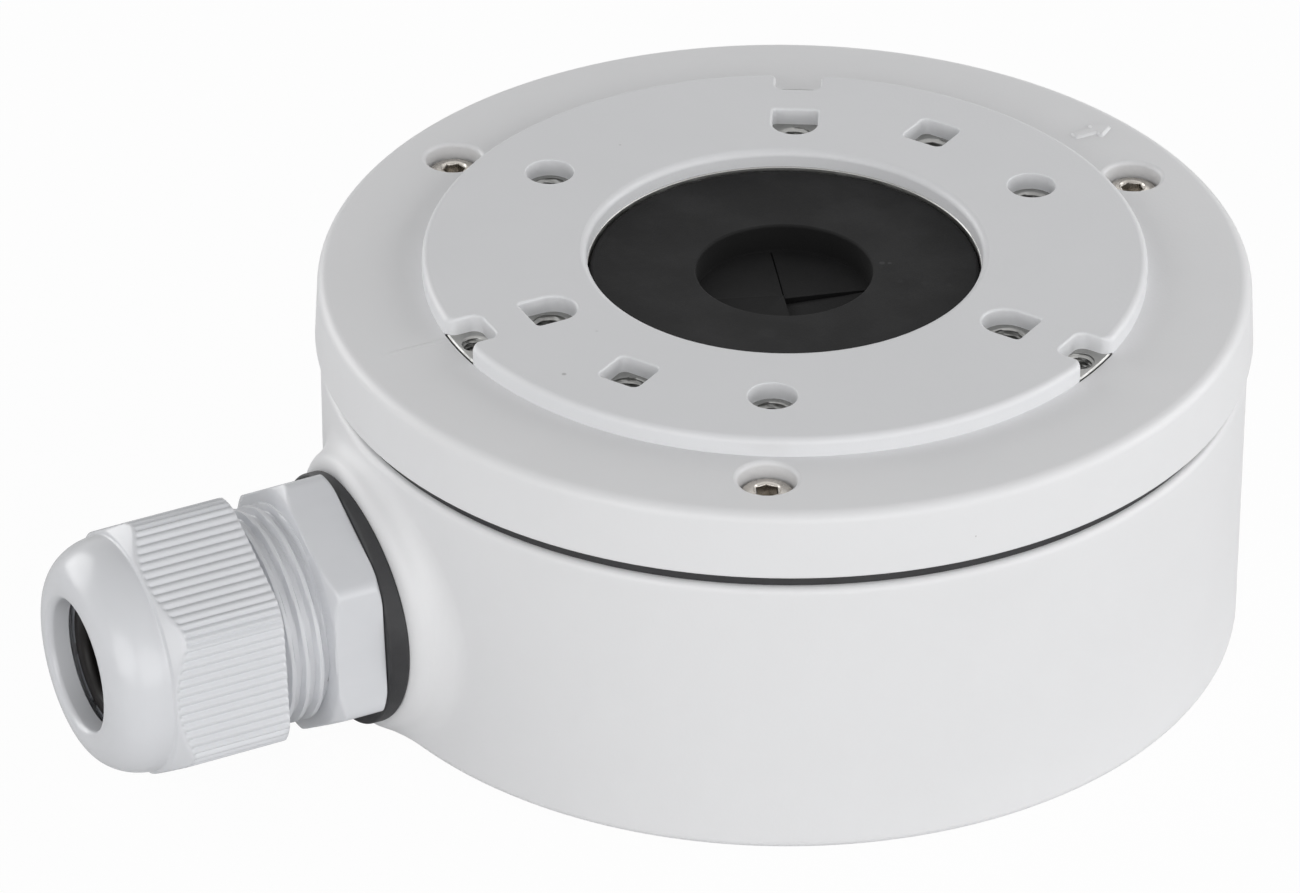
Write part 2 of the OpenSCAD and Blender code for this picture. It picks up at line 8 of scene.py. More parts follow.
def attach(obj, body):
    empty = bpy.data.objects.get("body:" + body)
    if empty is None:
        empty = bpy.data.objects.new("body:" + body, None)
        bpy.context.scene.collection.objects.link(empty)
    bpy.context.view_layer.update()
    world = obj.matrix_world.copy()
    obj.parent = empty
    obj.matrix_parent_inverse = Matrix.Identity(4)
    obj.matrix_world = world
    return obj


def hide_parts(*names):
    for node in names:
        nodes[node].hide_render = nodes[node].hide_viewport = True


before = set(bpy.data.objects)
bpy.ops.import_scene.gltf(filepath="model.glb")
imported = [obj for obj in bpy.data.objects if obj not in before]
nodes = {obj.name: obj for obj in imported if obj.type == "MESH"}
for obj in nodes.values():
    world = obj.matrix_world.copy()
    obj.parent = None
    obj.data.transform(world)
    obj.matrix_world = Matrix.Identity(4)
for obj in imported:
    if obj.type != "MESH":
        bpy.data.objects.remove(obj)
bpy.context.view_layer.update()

# Sizes in millimetres, as the solids have them
BASE_R, BASE_H, WALL, FLOOR_T = 49.5, 32.1, 3.2, 2.5
INNER_R = BASE_R - WALL
COVER_Z, RIM_Z = 33.6, 41.1
COVER_R, COVER_DRAFT, COVER_ROUND = 50.0, 0.35, 1.3
WEB_Z, PLATE_Z, PLATE_TOP, DISC_TOP = 36.05, 39.25, 41.25, 43.2
DISC_R, DISC_BORE_R, DISC_ROUND, WINDOW_ROUND = 38.5, 21.0, 0.8, 0.28
RECESS_R, RECESS_ROUND = 38.5, 0.025
PLATE_R, PLATE_BORE_R = 38.3, 20.93
FLANGE_R, FLANGE_T, NECK_R, WEB_BORE_R, SKIRT_R, SKIRT_T = 23.5, 1.6, 20.75, 19.5, 19.3, 1.7
RUBBER_TOP, NECK_TOP, POCKET_R, POCKET_D, MEMBRANE_T, SLIT_TURN = 40.6, 40.95, 9.4, 3.3, 1.1, 71
WINDOW_AT, ARCH_AT, NOTCH_AT, PEG_AT, NOTCH_THREAD_AT = 30.0, 27.6, 34.8, 35.2, 36.3
SCREW_AT, HEAD_R, HEAD_H, SEAT_Z, SHANK_R, SHANK_L = 42.6, 2.85, 2.5, 37.25, 1.5, 14.0
SINK_R, SINK_ROUND, CLEAR_R = 3.05, 0.5, 1.7
POST_R, WALL_HOLE_AT, WALL_HOLE_R, PAD_R, PAD_H = 4.3, 36.0, 2.5, 5.0, 1.2
EARTH_AT, EARTH_POST_R, EARTH_H, EARTH_R = 38.0, 4.2, 12.0, 2.0
SCREW_ANGLES, ARCH_ANGLES, SQUARE_ANGLES = (90, 210, 330), (30, 150, 270), (120, 300)
PEG_ANGLES, WALL_ANGLES = (60, 180, 300), (45, 135, 225, 315)
GLAND_Z, BOSS_R, BOSS_FACE, BOSS_IN = 14.8, 15.2, 51.3, 41.0
BOSS_FLAT, BOSS_SOFT, BOSS_FOOT, BOSS_CROWN, WASHER_DROP = 13.5, 1.8, 2.8, 51.8, 0.35
ENTRY_R, ENTRY_S, PASS_R, CAGE_R, CAGE_SEAT = 10.0, 40.3, 7.0, 9.3, 60.1
WASHER_R, HEX_S, HEX_END, HEX_AF, HEX_TURN = 13.65, 53.2, 58.9, 25.6, 34.5
HEX_CORNER, HEX_FRONT_R, HEX_BACK_R = 1.6, 13.2, 13.72
THREAD_R, THREAD_H, THREAD_PITCH, THREAD_END = 11.65, 0.75, 1.6, 70.5
NUT_S, GRIP_END, NUT_END, NUT_AF, RIB_H = 64.6, 77.05, 83.0, 26.2, 0.3
DOME_R, DOME_MOUTH_R, NUT_CORNER = 12.7, 8.2, 3.4
MOUTH_R, LIP_R, TIP_S, SEAL_R, SEAL_T, CAGE_S = 7.1, 0.8, 79.8, 5.0, 2.45, 63.5
PLAY = 0.05


# Shells are (points, faces) in millimetres, turned into objects in metres

def turned(profile, steps=128):
    """Shell of a closed profile of (r, z) points turned about Z."""
    count = len(profile)
    points = [(r * cos(tau * i / steps), r * sin(tau * i / steps), z) for i in range(steps) for r, z in profile]
    faces = [(i * count + j, (i + 1) % steps * count + j, (i + 1) % steps * count + (j + 1) % count,
        i * count + (j + 1) % count) for i in range(steps) for j in range(count)]
    return points, faces


def lofted(loops, ring=False):
    """Shell through loops of points, closed by flat ends, or end to end where it is a ring."""
    count, rows = len(loops[0]), len(loops)
    points = [tuple(p) for loop in loops for p in loop]
    faces = [(i * count + j, i * count + (j + 1) % count, (i + 1) % rows * count + (j + 1) % count,
        (i + 1) % rows * count + j) for i in range(rows if ring else rows - 1) for j in range(count)]
    if not ring:
        faces += [tuple(range(count))[::-1], tuple((rows - 1) * count + j for j in range(count))]
    return points, faces


def joined(*shells):
    """Several shells as one."""
    points, faces = [], []
    for some, loops in shells:
        faces += [tuple(len(points) + i for i in face) for face in loops]
        points += some
    return points, faces


def placed(shell, r=0.0, angle=0.0, z=0.0, turn=0.0):
    """Shell turned by a number of degrees, then moved to a place round the box's axis."""
    a = radians(angle)
    move = Matrix.Rotation(a, 4, "Z") @ Matrix.Translation((r, 0, z)) @ Matrix.Rotation(radians(turn), 4, "Z")
    return [tuple(move @ Vector(p)) for p in shell[0]], shell[1]


def along_gland(shell):
    """Shell whose Z runs out along the gland's axis."""
    return [(x, -s, y + GLAND_Z) for x, y, s in shell[0]], shell[1]


def made(name, shell):
    """Object with a closed, outward facing mesh of the shell."""
    mesh = bpy.data.meshes.new(name)
    mesh.from_pydata([tuple(c * 0.001 for c in p) for p in shell[0]], [], shell[1])
    bm = bmesh.new()
    bm.from_mesh(mesh)
    bmesh.ops.remove_doubles(bm, verts=bm.verts, dist=2e-7)
    bmesh.ops.recalc_face_normals(bm, faces=bm.faces)
    bm.to_mesh(mesh)
    bm.free()
    piece = bpy.data.objects.new(name, mesh)
    bpy.context.scene.collection.objects.link(piece)
    return piece


def worked(piece, tool, operation="DIFFERENCE"):
    """Cuts or joins a tool into a piece, and deletes the tool."""
    step = piece.modifiers.new("tool", "BOOLEAN")
    step.solver, step.operation, step.object = "EXACT", operation, tool
    depsgraph = bpy.context.evaluated_depsgraph_get()
    mesh = bpy.data.meshes.new_from_object(piece.evaluated_get(depsgraph))
    piece.modifiers.clear()
    piece.data = mesh
    bpy.data.objects.remove(tool)
    return piece


def shaded(piece, crease=34):
    """Smooth faces with crisp edges above the crease angle, and flat faces that stay flat."""
    bm = bmesh.new()
    bm.from_mesh(piece.data)
    bmesh.ops.dissolve_degenerate(bm, edges=bm.edges, dist=5e-7)
    for face in bm.faces:
        face.smooth = True
    for edge in bm.edges:
        edge.smooth = len(edge.link_faces) == 2 and edge.calc_face_angle(0) < radians(crease)
    bm.to_mesh(piece.data)
    bm.free()
    normals = piece.modifiers.new("flat faces", "WEIGHTED_NORMAL")
    normals.mode, normals.keep_sharp, normals.weight = "FACE_AREA", True, 80
    return piece


def dressed(piece, body, slot, finish, *replaced):
    """Gives a piece its finish, its body and the solids that it stands for."""
    piece.data.materials.clear()
    piece.data.materials.append(finish)
    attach(piece, body)
    if replaced:
        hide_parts(*replaced)
    return piece


def arc(cx, cy, r, a0, a1, steps=8):
    """Points of an arc between two angles in degrees."""
    return [(cx + r * cos(radians(a0 + (a1 - a0) * i / steps)), cy + r * sin(radians(a0 + (a1 - a0) * i / steps)))
        for i in range(steps + 1)]


def rod(r, z0, z1, steps=48):
    """Plain round tool."""
    return lofted([[(r * cos(tau * i / steps), r * sin(tau * i / steps), z) for i in range(steps)] for z in (z0, z1)])


def softened(corners, radii, steps=6):
    """Outline, counter-clockwise, with each corner rounded by its own radius, 0 for a plain point."""
    out, count = [], len(corners)
    for i, (corner, radius) in enumerate(zip(corners, radii)):
        if not radius:
            out.append(tuple(corner))
            continue
        here = Vector(corner)
        back, ahead = Vector(corners[i - 1]) - here, Vector(corners[(i + 1) % count]) - here
        back.normalize()
        ahead.normalize()
        half = back.angle(ahead) / 2
        reach = radius / tan(half)
        start, end = here + back * reach, here + ahead * reach
        centre = here + (back + ahead).normalized() * radius / sin(half)
        a0, a1 = atan2(*(start - centre).yx), atan2(*(end - centre).yx)
        sweep = (a1 - a0 + pi) % tau - pi
        out += [(centre.x + radius * cos(a0 + sweep * k / steps), centre.y + radius * sin(a0 + sweep * k / steps))
            for k in range(steps + 1)]
    return out


def grown(outline, amounts):
    """Outline moved out along its own normals, by one amount or one for each point."""
    count = len(outline)
    amounts = amounts if isinstance(amounts, list) else [amounts] * count
    out = []
    for i, (p, amount) in enumerate(zip(outline, amounts)):
        a, b = Vector(outline[i - 1]), Vector(outline[(i + 1) % count])
        before, after = (Vector(p) - a).normalized(), (b - Vector(p)).normalized()
        way = (before + after).normalized()
        stretch = 1 / max(0.5, way.dot(after))
        out.append((p[0] + way.y * amount * stretch, p[1] - way.x * amount * stretch))
    return out


def flared(outline, z0, z1, soft, steps=5):
    """Tool that cuts a hole of this outline and rounds its upper edge."""
    levels = [(z0, 0.0), (z1 - soft, 0.0)]
    for k in range(1, steps):
        t = radians(84 * k / (steps - 1))
        levels.append((z1 - soft + soft * sin(t), soft * (1 - cos(t))))
    levels += [(z1 + soft * 0.02, soft), (z1 + 1, soft + 0.2)]
    return lofted([[(x, y, z) for x, y in grown(outline, out)] for z, out in levels])


def round_outline(r, steps=48):
    return [(r * cos(tau * i / steps), r * sin(tau * i / steps)) for i in range(steps)]


def square_outline(w, corner):
    h = w / 2
    return softened([(-h, -h), (h, -h), (h, h), (-h, h)], [corner] * 4)


def arch_outline(w, length, corner=0.45):
    """Half round towards the box's centre and square outside."""
    h, back = w / 2, length / 2
    return (arc(back - corner, corner - h, corner, 270, 360, 4) + arc(back - corner, h - corner, corner, 0, 90, 4)
        + arc(h - back, 0, h, 90, 270, 20))


def screw_thread(z, turn, crest, depth, pitch, flat=0.42):
    """Radius of a right-hand thread at a height and a turn in radians."""
    phase = (z / pitch - turn / tau) % 1
    rise = min(1, max(0, (abs(phase - 0.5) * 2 - (1 - flat) * 0.45) / ((1 - flat) * 0.62)))
    return crest - depth * (rise * rise * (3 - 2 * rise))


def threaded_rod(crest, depth, pitch, z0, z1, steps=40, rows=7, lead=0.8):
    """Loops of a threaded shank that fades out at both ends."""
    count = int((z1 - z0) / pitch * rows)
    loops = []
    for k in range(count + 1):
        z = z0 + (z1 - z0) * k / count
        fade = min(1, (z - z0) / lead + 0.02, (z1 - z) / lead + 0.02)
        loops.append([(r * cos(a), r * sin(a), z) for i in range(steps) for a in [tau * i / steps]
            for r in [crest - depth + (screw_thread(z, a, crest, depth, pitch) - crest + depth) * fade]])
    return loops


def thread_insert(crest, depth, outer, pitch, z0, z1, steps=40, chamfer=0.3):
    """Closed tube with a threaded inside and a chamfered mouth."""
    rows = int((z1 - z0) / 0.09)
    loops = []
    for k in range(rows + 1):
        z = z0 + (z1 - z0) * k / rows
        mouth = crest + max(0, chamfer - (z1 - z)) + max(0, chamfer * 0.6 - (z - z0))
        ring = []
        for i in range(steps):
            a = tau * i / steps
            cut = 2 * crest + depth - screw_thread(z, a, crest + depth, depth, pitch)
            r = min(outer - 0.02, max(cut, mouth))
            ring.append((r * cos(a), r * sin(a), z))
        loops.append(ring)
    loops += [[(outer * cos(tau * i / steps), outer * sin(tau * i / steps), z) for i in range(steps)]
        for z in (z1, z0)]
    return lofted(loops, ring=True)


# Shader graphs

class Value:
    """A socket in a shader graph; sums on it add Math nodes."""

    def __init__(self, graph, socket):
        self.graph, self.socket = graph, socket

    def sum_with(self, operation, first, second):
        return self.graph.node("Math", {"operation": operation}, {0: first, 1: second})

    def __add__(self, other): return self.sum_with("ADD", self, other)
    def __sub__(self, other): return self.sum_with("SUBTRACT", self, other)
    def __mul__(self, other): return self.sum_with("MULTIPLY", self, other)
    def __truediv__(self, other): return self.sum_with("DIVIDE", self, other)
    def __pow__(self, other): return self.sum_with("POWER", self, other)
    def __radd__(self, other): return self.sum_with("ADD", other, self)
    def __rsub__(self, other): return self.sum_with("SUBTRACT", other, self)
    def __rmul__(self, other): return self.sum_with("MULTIPLY", other, self)


class Finish:
    """A material's graph, with a few sums that several finishes share."""

    def __init__(self, name):
        self.material = bpy.data.materials.new(name)
        self.material.use_nodes = True
        self.tree = self.material.node_tree
        self.tree.nodes.clear()
        place = self.node("TexCoord", out="Object")
        self.place = self.node("VectorMath", {"operation": "SCALE"}, {0: place, "Scale": 1000.0})

    def node(self, kind, settings=None, inputs=None, out=0):
        """Adds a node, sets its settings, then its sockets, and gives one of its outputs."""
        new = self.tree.nodes.new("ShaderNode" + kind)
        for key, value in (settings or {}).items():
            if key == "stops":
                ramp = new.color_ramp.elements
                while len(ramp) < len(value):
                    ramp.new(0.5)
                for stop, (at, grey) in zip(ramp, value):
                    stop.position, stop.color = at, (grey, grey, grey, 1)
            else:
                setattr(new, key, value)
        for key, value in (inputs or {}).items():
            if isinstance(value, Value):
                self.tree.links.new(value.socket, new.inputs[key])
            else:
                new.inputs[key].default_value = value
        return Value(self, new.outputs[out])

    def noise(self, scale, detail=2.0, rough=0.5, place=None, distortion=0.0):
        """Noise whose features are about 1 / scale millimetres across."""
        return self.node("TexNoise", {}, {"Vector": place or self.place, "Scale": scale, "Detail": detail,
            "Roughness": rough, "Distortion": distortion})

    def spots(self, scale, size, place=None):
        """1 inside scattered round spots and 0 outside."""
        far = self.node("TexVoronoi", {}, {"Vector": place or self.place, "Scale": scale}, out="Distance")
        return self.between(far, size, size * 0.6)

    def between(self, value, low, high):
        """0 at low and 1 at high, with soft ends."""
        return self.node("MapRange", {"interpolation_type": "SMOOTHSTEP"},
            {"Value": value, "From Min": low, "From Max": high, "To Min": 0.0, "To Max": 1.0})

    def mix(self, factor, first, second):
        """Mix of two colours."""
        full = [c if isinstance(c, Value) else (*c, 1.0) for c in (first, second)]
        return self.node("Mix", {"data_type": "RGBA"}, {0: factor, 6: full[0], 7: full[1]}, out=2)

    def stretched(self, x, y, z):
        """Place with its axes scaled, for streaks and brushing."""
        return self.node("VectorMath", {"operation": "MULTIPLY"}, {0: self.place, 1: (x, y, z)})

    def mark(self, x, y, z, r):
        """1 within a soft round spot of radius r about a point, 0 outside."""
        away = self.node("VectorMath", {"operation": "DISTANCE"}, {0: self.place, 1: (x, y, z)}, out="Value")
        return self.between(away, r, r * 0.4)

    def done(self, colour, rough, height=None, depth=0.0, **fixed):
        """Ends the graph in a surface: height times depth in millimetres is the bump."""
        inputs = {"Base Color": colour if isinstance(colour, Value) else (*colour, 1.0), "Roughness": rough}
        if height is not None:
            inputs["Normal"] = self.node("Bump", {}, {"Height": height, "Distance": depth * 0.001, "Strength": 1.0})
        inputs.update({key.replace("_", " "): value for key, value in fixed.items()})
        surface = self.node("BsdfPrincipled", {}, inputs)
        return self.shown(surface)

    def shown(self, surface):
        """Makes a shader the material's surface."""
        self.tree.links.new(surface.socket, self.tree.nodes.new("ShaderNodeOutputMaterial").inputs["Surface"])
        return self.material


def powder_coat(name, shade, speck_size, stains=(), seam_x=None):
    """White powder coat: a fine orange peel, faint clouding, tiny specks, the stains given and one faint seam."""
    f = Finish(name)
    peel = f.noise(2.6, 2.0, 0.55)
    grain = f.noise(9.0, 1.0)
    cloud = f.noise(0.06, 3.0, 0.6)
    specks = f.spots(0.14, speck_size) * f.between(f.noise(0.35, 0.0), 0.57, 0.62)
    clean = f.mix(f.between(cloud, 0.3, 0.7), shade, tuple(c * 0.985 for c in shade))
    for x, y, z, r, strength in stains:
        specks = specks + f.mark(x, y, z, r) * strength
    colour = f.mix(specks * 0.4, clean, (0.2, 0.19, 0.18))
    rough = 0.42 + 0.08 * (grain - 0.5) + 0.05 * (cloud - 0.5)
    height = peel * 0.75 + grain * 0.25
    if seam_x is not None:
        x = f.node("SeparateXYZ", {}, {0: f.place}, out="X")
        y = f.node("SeparateXYZ", {}, {0: f.place}, out="Y")
        beside = f.node("Math", {"operation": "ABSOLUTE"}, {0: x - seam_x})
        height = height + 5.0 * f.between(beside, 0.4, 0.15) * f.between(y, -47.0, -44.0) * f.between(y, -38.0, -39.0)
    return f.done(colour, rough, height, 0.014)


def moulded_nylon(name, shade, gloss):
    """Glossy moulded nylon with a faint flow and a soft ripple."""
    f = Finish(name)
    flow = f.noise(0.12, 3.0, 0.6, f.stretched(1.0, 0.35, 1.0), 0.6)
    ripple = f.noise(0.4, 2.0, 0.45)
    specks = f.spots(0.2, 0.02) * f.between(f.noise(0.4, 0.0), 0.58, 0.62)
    clean = f.mix(f.between(flow, 0.3, 0.7), shade, tuple(c * 0.975 for c in shade))
    colour = f.mix(specks * 0.4, clean, (0.3, 0.3, 0.3))
    rough = gloss + 0.06 * (flow - 0.5)
    return f.done(colour, rough, ripple, 0.014, Coat_Weight=0.1, Coat_Roughness=0.15)


def dusty_rubber(name, shade, dust, rough=0.78, bump=0.02, film_share=0.35, marks=(), shine=0.22, pocket_shade_r=0.0):
    """Matt black rubber with fine grain, a film of pale dust and the marks given; inside a pocket, painted shade
    darkens the wall and, less, the floor.
    """
    f = Finish(name)
    grain = f.noise(5.0, 3.0, 0.6)
    film = f.between(f.noise(0.12, 4.0, 0.55), 0.3, 0.8)
    flecks = f.spots(0.4, 0.035) * f.between(f.noise(0.6, 0.0), 0.56, 0.62)
    for x, y, z, r, strength in marks:
        flecks = flecks + f.mark(x, y, z, r) * strength
    dust_and_shade = f.mix(film * film_share + flecks * 0.6, shade, dust)
    # Painted shade: inside the pocket the colour is mixed towards near black, less so at the pocket's floor.
    if pocket_shade_r:
        r = f.node("VectorMath", {"operation": "LENGTH"}, {0: f.stretched(1.0, 1.0, 0.0)}, out="Value")
        high = f.node("SeparateXYZ", {}, {0: f.place}, out="Z")
        wall = f.between(r, pocket_shade_r + 0.35, pocket_shade_r + 0.05) * f.between(high, RUBBER_TOP + 0.1, RUBBER_TOP - 0.3)
        floor = f.between(high, RUBBER_TOP - POCKET_D + 0.4, RUBBER_TOP - POCKET_D + 0.1)
        dust_and_shade = f.mix(wall * (0.85 - 0.45 * floor), dust_and_shade, (0.003, 0.003, 0.003))
    return f.done(dust_and_shade, rough + 0.08 * (grain - 0.5), grain * 0.8 + flecks * 0.2, bump, Specular_IOR_Level=shine)


def plated_steel(name, shade, rough, brushed, marks=1.0, depth=0.012):
    """Plated or bright steel with rolling lines, fine scratches and dull stains."""
    f = Finish(name)
    lines = f.noise(1.0, 2.0, 0.6, f.stretched(*brushed))
    stains = f.between(f.noise(0.5, 4.0, 0.65), 0.42, 0.7)
    fine = f.noise(11.0, 1.0)
    scratch = f.between(f.noise(1.0, 1.0, 0.5, f.stretched(0.25, 6.0, 1.0), 0.8), 0.66, 0.72)
    colour = f.mix(stains * 0.35 * marks, shade, tuple(c * 0.62 for c in shade))
    uneven = rough + 0.16 * marks * stains + 0.12 * (lines - 0.5) + 0.06 * (fine - 0.5)
    return f.done(colour, uneven, lines * 0.5 + fine * 0.3 - scratch * 0.2, depth, Metallic=1.0)


white_paint = powder_coat("white_powder_coat", (0.80, 0.802, 0.812), 0.016, seam_x=-2.4)
disc_paint = powder_coat("disc_powder_coat", (0.77, 0.775, 0.79), 0.018,
    ((12.5, -32.25, DISC_TOP, 0.33, 1.2), (6.3, -25.4, DISC_TOP, 0.25, 0.35), (-27.8, -5.6, DISC_TOP, 0.2, 0.6)))
gland_nylon = moulded_nylon("gland_nylon", (0.72, 0.73, 0.755), 0.25)
cage_nylon = moulded_nylon("cage_nylon", (0.55, 0.57, 0.6), 0.4)
# The grommet's pocket gets painted shade inside its radius.
grommet_rubber = dusty_rubber("grommet_rubber", (0.0068, 0.0068, 0.0071), (0.04, 0.04, 0.041), film_share=0.38,
    pocket_shade_r=POCKET_R, marks=(
    (3.5, 9.9, RUBBER_TOP, 0.4, 1.7), (3.9, 10.6, RUBBER_TOP, 0.3, 1.2), (7.8, 9.8, RUBBER_TOP, 0.5, 0.25), (9.4, 11.9, RUBBER_TOP, 0.6, 0.2),
    (11.1, 13.9, RUBBER_TOP, 0.5, 0.25), (11.0, -7.8, RUBBER_TOP, 1.3, 0.2)))
gasket_rubber = dusty_rubber("gasket_rubber", (0.026, 0.026, 0.028), (0.07, 0.07, 0.07), 0.55, shine=0.45)
seal_rubber = dusty_rubber("seal_rubber", (0.011, 0.01, 0.01), (0.028, 0.024, 0.022), 0.45, 0.015)
plate_steel = plated_steel("plate_steel", (0.39, 0.39, 0.38), 0.42, (0.12, 4.0, 1.0))
screw_steel = plated_steel("screw_steel", (0.56, 0.53, 0.49), 0.16, (2.0, 2.0, 0.4), 1.8, 0.035)
washer_brass = plated_steel("washer_brass", (0.78, 0.57, 0.25), 0.34, (1.0, 1.0, 3.0))


# Housing

def edge_inset(z):
    """How far the wall's edges are rounded in at a height."""
    low, high = 1.0, 0.8
    if z < low:
        return low - sqrt(max(0.0, low * low - (low - z) ** 2))
    if z > BASE_H - high:
        return high - sqrt(max(0.0, high * high - (z - BASE_H + high) ** 2))
    return 0.0


def boss_face(x):
    """How far out the boss's face stands; it follows the round wall a little."""
    return BOSS_CROWN - 0.9 * (x / 13.6) ** 2


def boss_reach(dx):
    """Height of the boss above the wall and width of its rounded foot, for a direction from its centre."""
    x = BOSS_FLAT * dx
    height = boss_face(x) - sqrt(BASE_R ** 2 - x * x)
    lean = 1 - height / (BOSS_SOFT + BOSS_FOOT)
    return height, (BOSS_SOFT + BOSS_FOOT) * sqrt(1 - lean * lean)


def wall_point(x, z):
    """Point of the housing's outside over (x, z), with the cast boss and its fillet."""
    up = z - GLAND_Z
    rho = max(hypot(x, up), 1e-9)
    wall = sqrt(BASE_R ** 2 - x * x)
    height, extent = boss_reach(x / rho)
    side = rho - BOSS_FLAT
    if side <= 0:
        s = boss_face(x)
    elif side < extent * BOSS_SOFT / (BOSS_SOFT + BOSS_FOOT):
        s = wall + height - BOSS_SOFT + sqrt(BOSS_SOFT ** 2 - side * side)
    elif side < extent:
        s = wall + BOSS_FOOT - sqrt(BOSS_FOOT ** 2 - (extent - side) ** 2)
    else:
        s = wall
    shrink = 1 - edge_inset(z) / hypot(x, s)
    return x * shrink, -s * shrink, z


def housing_outside():
    """Round wall with rounded edges, and a fan of rays round the boss."""
    low_rows = [0.0, 0.04, 0.15, 0.35, 0.65, 1.0]
    high_rows = [BASE_H - depth for depth in (0.8, 0.5, 0.25, 0.1, 0.03, 0.0)]
    rows = low_rows + [2 + i for i in range(30)] + high_rows
    half = 26.0
    side_x = [-half + i for i in range(1, int(2 * half))]
    rim = ([(half, z) for z in rows] + [(x, BASE_H) for x in reversed(side_x)]
        + [(-half, z) for z in reversed(rows)] + [(x, 0.0) for x in side_x])
    rays = []
    for x, z in rim:
        dx, dz = x, z - GLAND_Z
        far = hypot(dx, dz)
        dx, dz = dx / far, dz / far
        edge_rows = low_rows[::-1][1:] if dz < 0 else high_rows[1:]
        inner_z = low_rows[-1] if dz < 0 else high_rows[0]
        stop = min(far, (inner_z - GLAND_Z) / dz) if abs(dz) > 1e-9 else far
        foot = BOSS_FLAT + boss_reach(dx)[1]
        reach = [4.0, 8.0, 11.0, 13.0] + [BOSS_FLAT + (foot - BOSS_FLAT) * k / 22 for k in range(23)]
        reach += [foot + (max(stop, foot) - foot) * k / 6 for k in range(1, 7)]
        reach = [min(r, stop) for r in reach]
        reach += [min(far, (row - GLAND_Z) / dz) if abs(dz) > 1e-9 else far for row in edge_rows]
        rays.append([wall_point(dx * r, GLAND_Z + dz * r) for r in reach])
    fan_points = [p for ray in rays for p in ray]
    count, turns = len(rays[0]), len(rays)
    fan_faces = [(i * count + j, (i + 1) % turns * count + j, (i + 1) % turns * count + j + 1, i * count + j + 1)
        for i in range(turns) for j in range(count - 1)]
    start = atan2(-sqrt(BASE_R ** 2 - half ** 2), half)
    sweep, columns = tau - 2 * (pi / 2 + start), 190
    wall_points = []
    for i in range(columns + 1):
        a = start + sweep * i / columns
        wall_points += [((BASE_R - edge_inset(z)) * cos(a), (BASE_R - edge_inset(z)) * sin(a), z) for z in rows]
    high = len(rows)
    wall_faces = [(i * high + j, (i + 1) * high + j, (i + 1) * high + j + 1, i * high + j + 1)
        for i in range(columns) for j in range(high - 1)]
    return joined((fan_points, fan_faces), (wall_points, wall_faces))


def housing_casting():
    housing = made("housing_casting", housing_outside())
    bm = bmesh.new()
    bm.from_mesh(housing.data)
    bmesh.ops.remove_doubles(bm, verts=bm.verts, dist=2e-6)
    bmesh.ops.holes_fill(bm, edges=[e for e in bm.edges if e.is_boundary], sides=0)
    bmesh.ops.recalc_face_normals(bm, faces=bm.faces)
    bm.to_mesh(housing.data)
    bm.free()
    foot = 1.6
    cavity = turned([(0, FLOOR_T)] + arc(INNER_R - foot, FLOOR_T + foot, foot, 270, 360)
        + [(INNER_R, BASE_H + 2), (0, BASE_H + 2)])
    worked(housing, made("cavity", cavity))
    inside = [placed(rod(POST_R, 1.0, BASE_H), SCREW_AT, a) for a in SCREW_ANGLES]
    inside += [placed(rod(PAD_R, 1.0, FLOOR_T + PAD_H), WALL_HOLE_AT, a) for a in WALL_ANGLES]
    worked(housing, made("posts", joined(*inside)), "UNION")
    trim = made("boss_inside", along_gland(rod(BOSS_R - 1, BOSS_IN, 48.0, 72)))
    box = lofted([[(-30, -48.0, z), (30, -48.0, z), (30, 0, z), (-30, 0, z)] for z in (1.0, BASE_H - 1)])
    worked(housing, worked(trim, made("trim", box), "INTERSECT"), "UNION")
    post = made("earth_post", placed(rod(EARTH_POST_R, 1.0, EARTH_H), EARTH_AT, 0))
    bridge = lofted([[(EARTH_AT, -EARTH_R, z), (48, -EARTH_R, z), (48, EARTH_R, z), (EARTH_AT, EARTH_R, z)]
        for z in (1.0, EARTH_H)])
    worked(housing, worked(post, made("bridge", bridge), "UNION"), "UNION")
    holes = [placed(flared(round_outline(SHANK_R + PLAY, 32), SEAT_Z - SHANK_L - 1, BASE_H, 0.3), SCREW_AT, a)
        for a in SCREW_ANGLES]
    holes += [placed(rod(WALL_HOLE_R, -1, FLOOR_T + PAD_H + 1), WALL_HOLE_AT, a) for a in WALL_ANGLES]
    holes += [placed(rod(EARTH_R + PLAY, FLOOR_T, EARTH_H + 1, 32), EARTH_AT, 0)]
    worked(housing, made("holes", joined(*holes)))
    worked(housing, made("entry", along_gland(rod(ENTRY_R + PLAY, BOSS_IN - 1, BOSS_FACE + 1, 96))))
    return dressed(shaded(housing), "base", "white_paint", white_paint, "base_housing")


# Cover

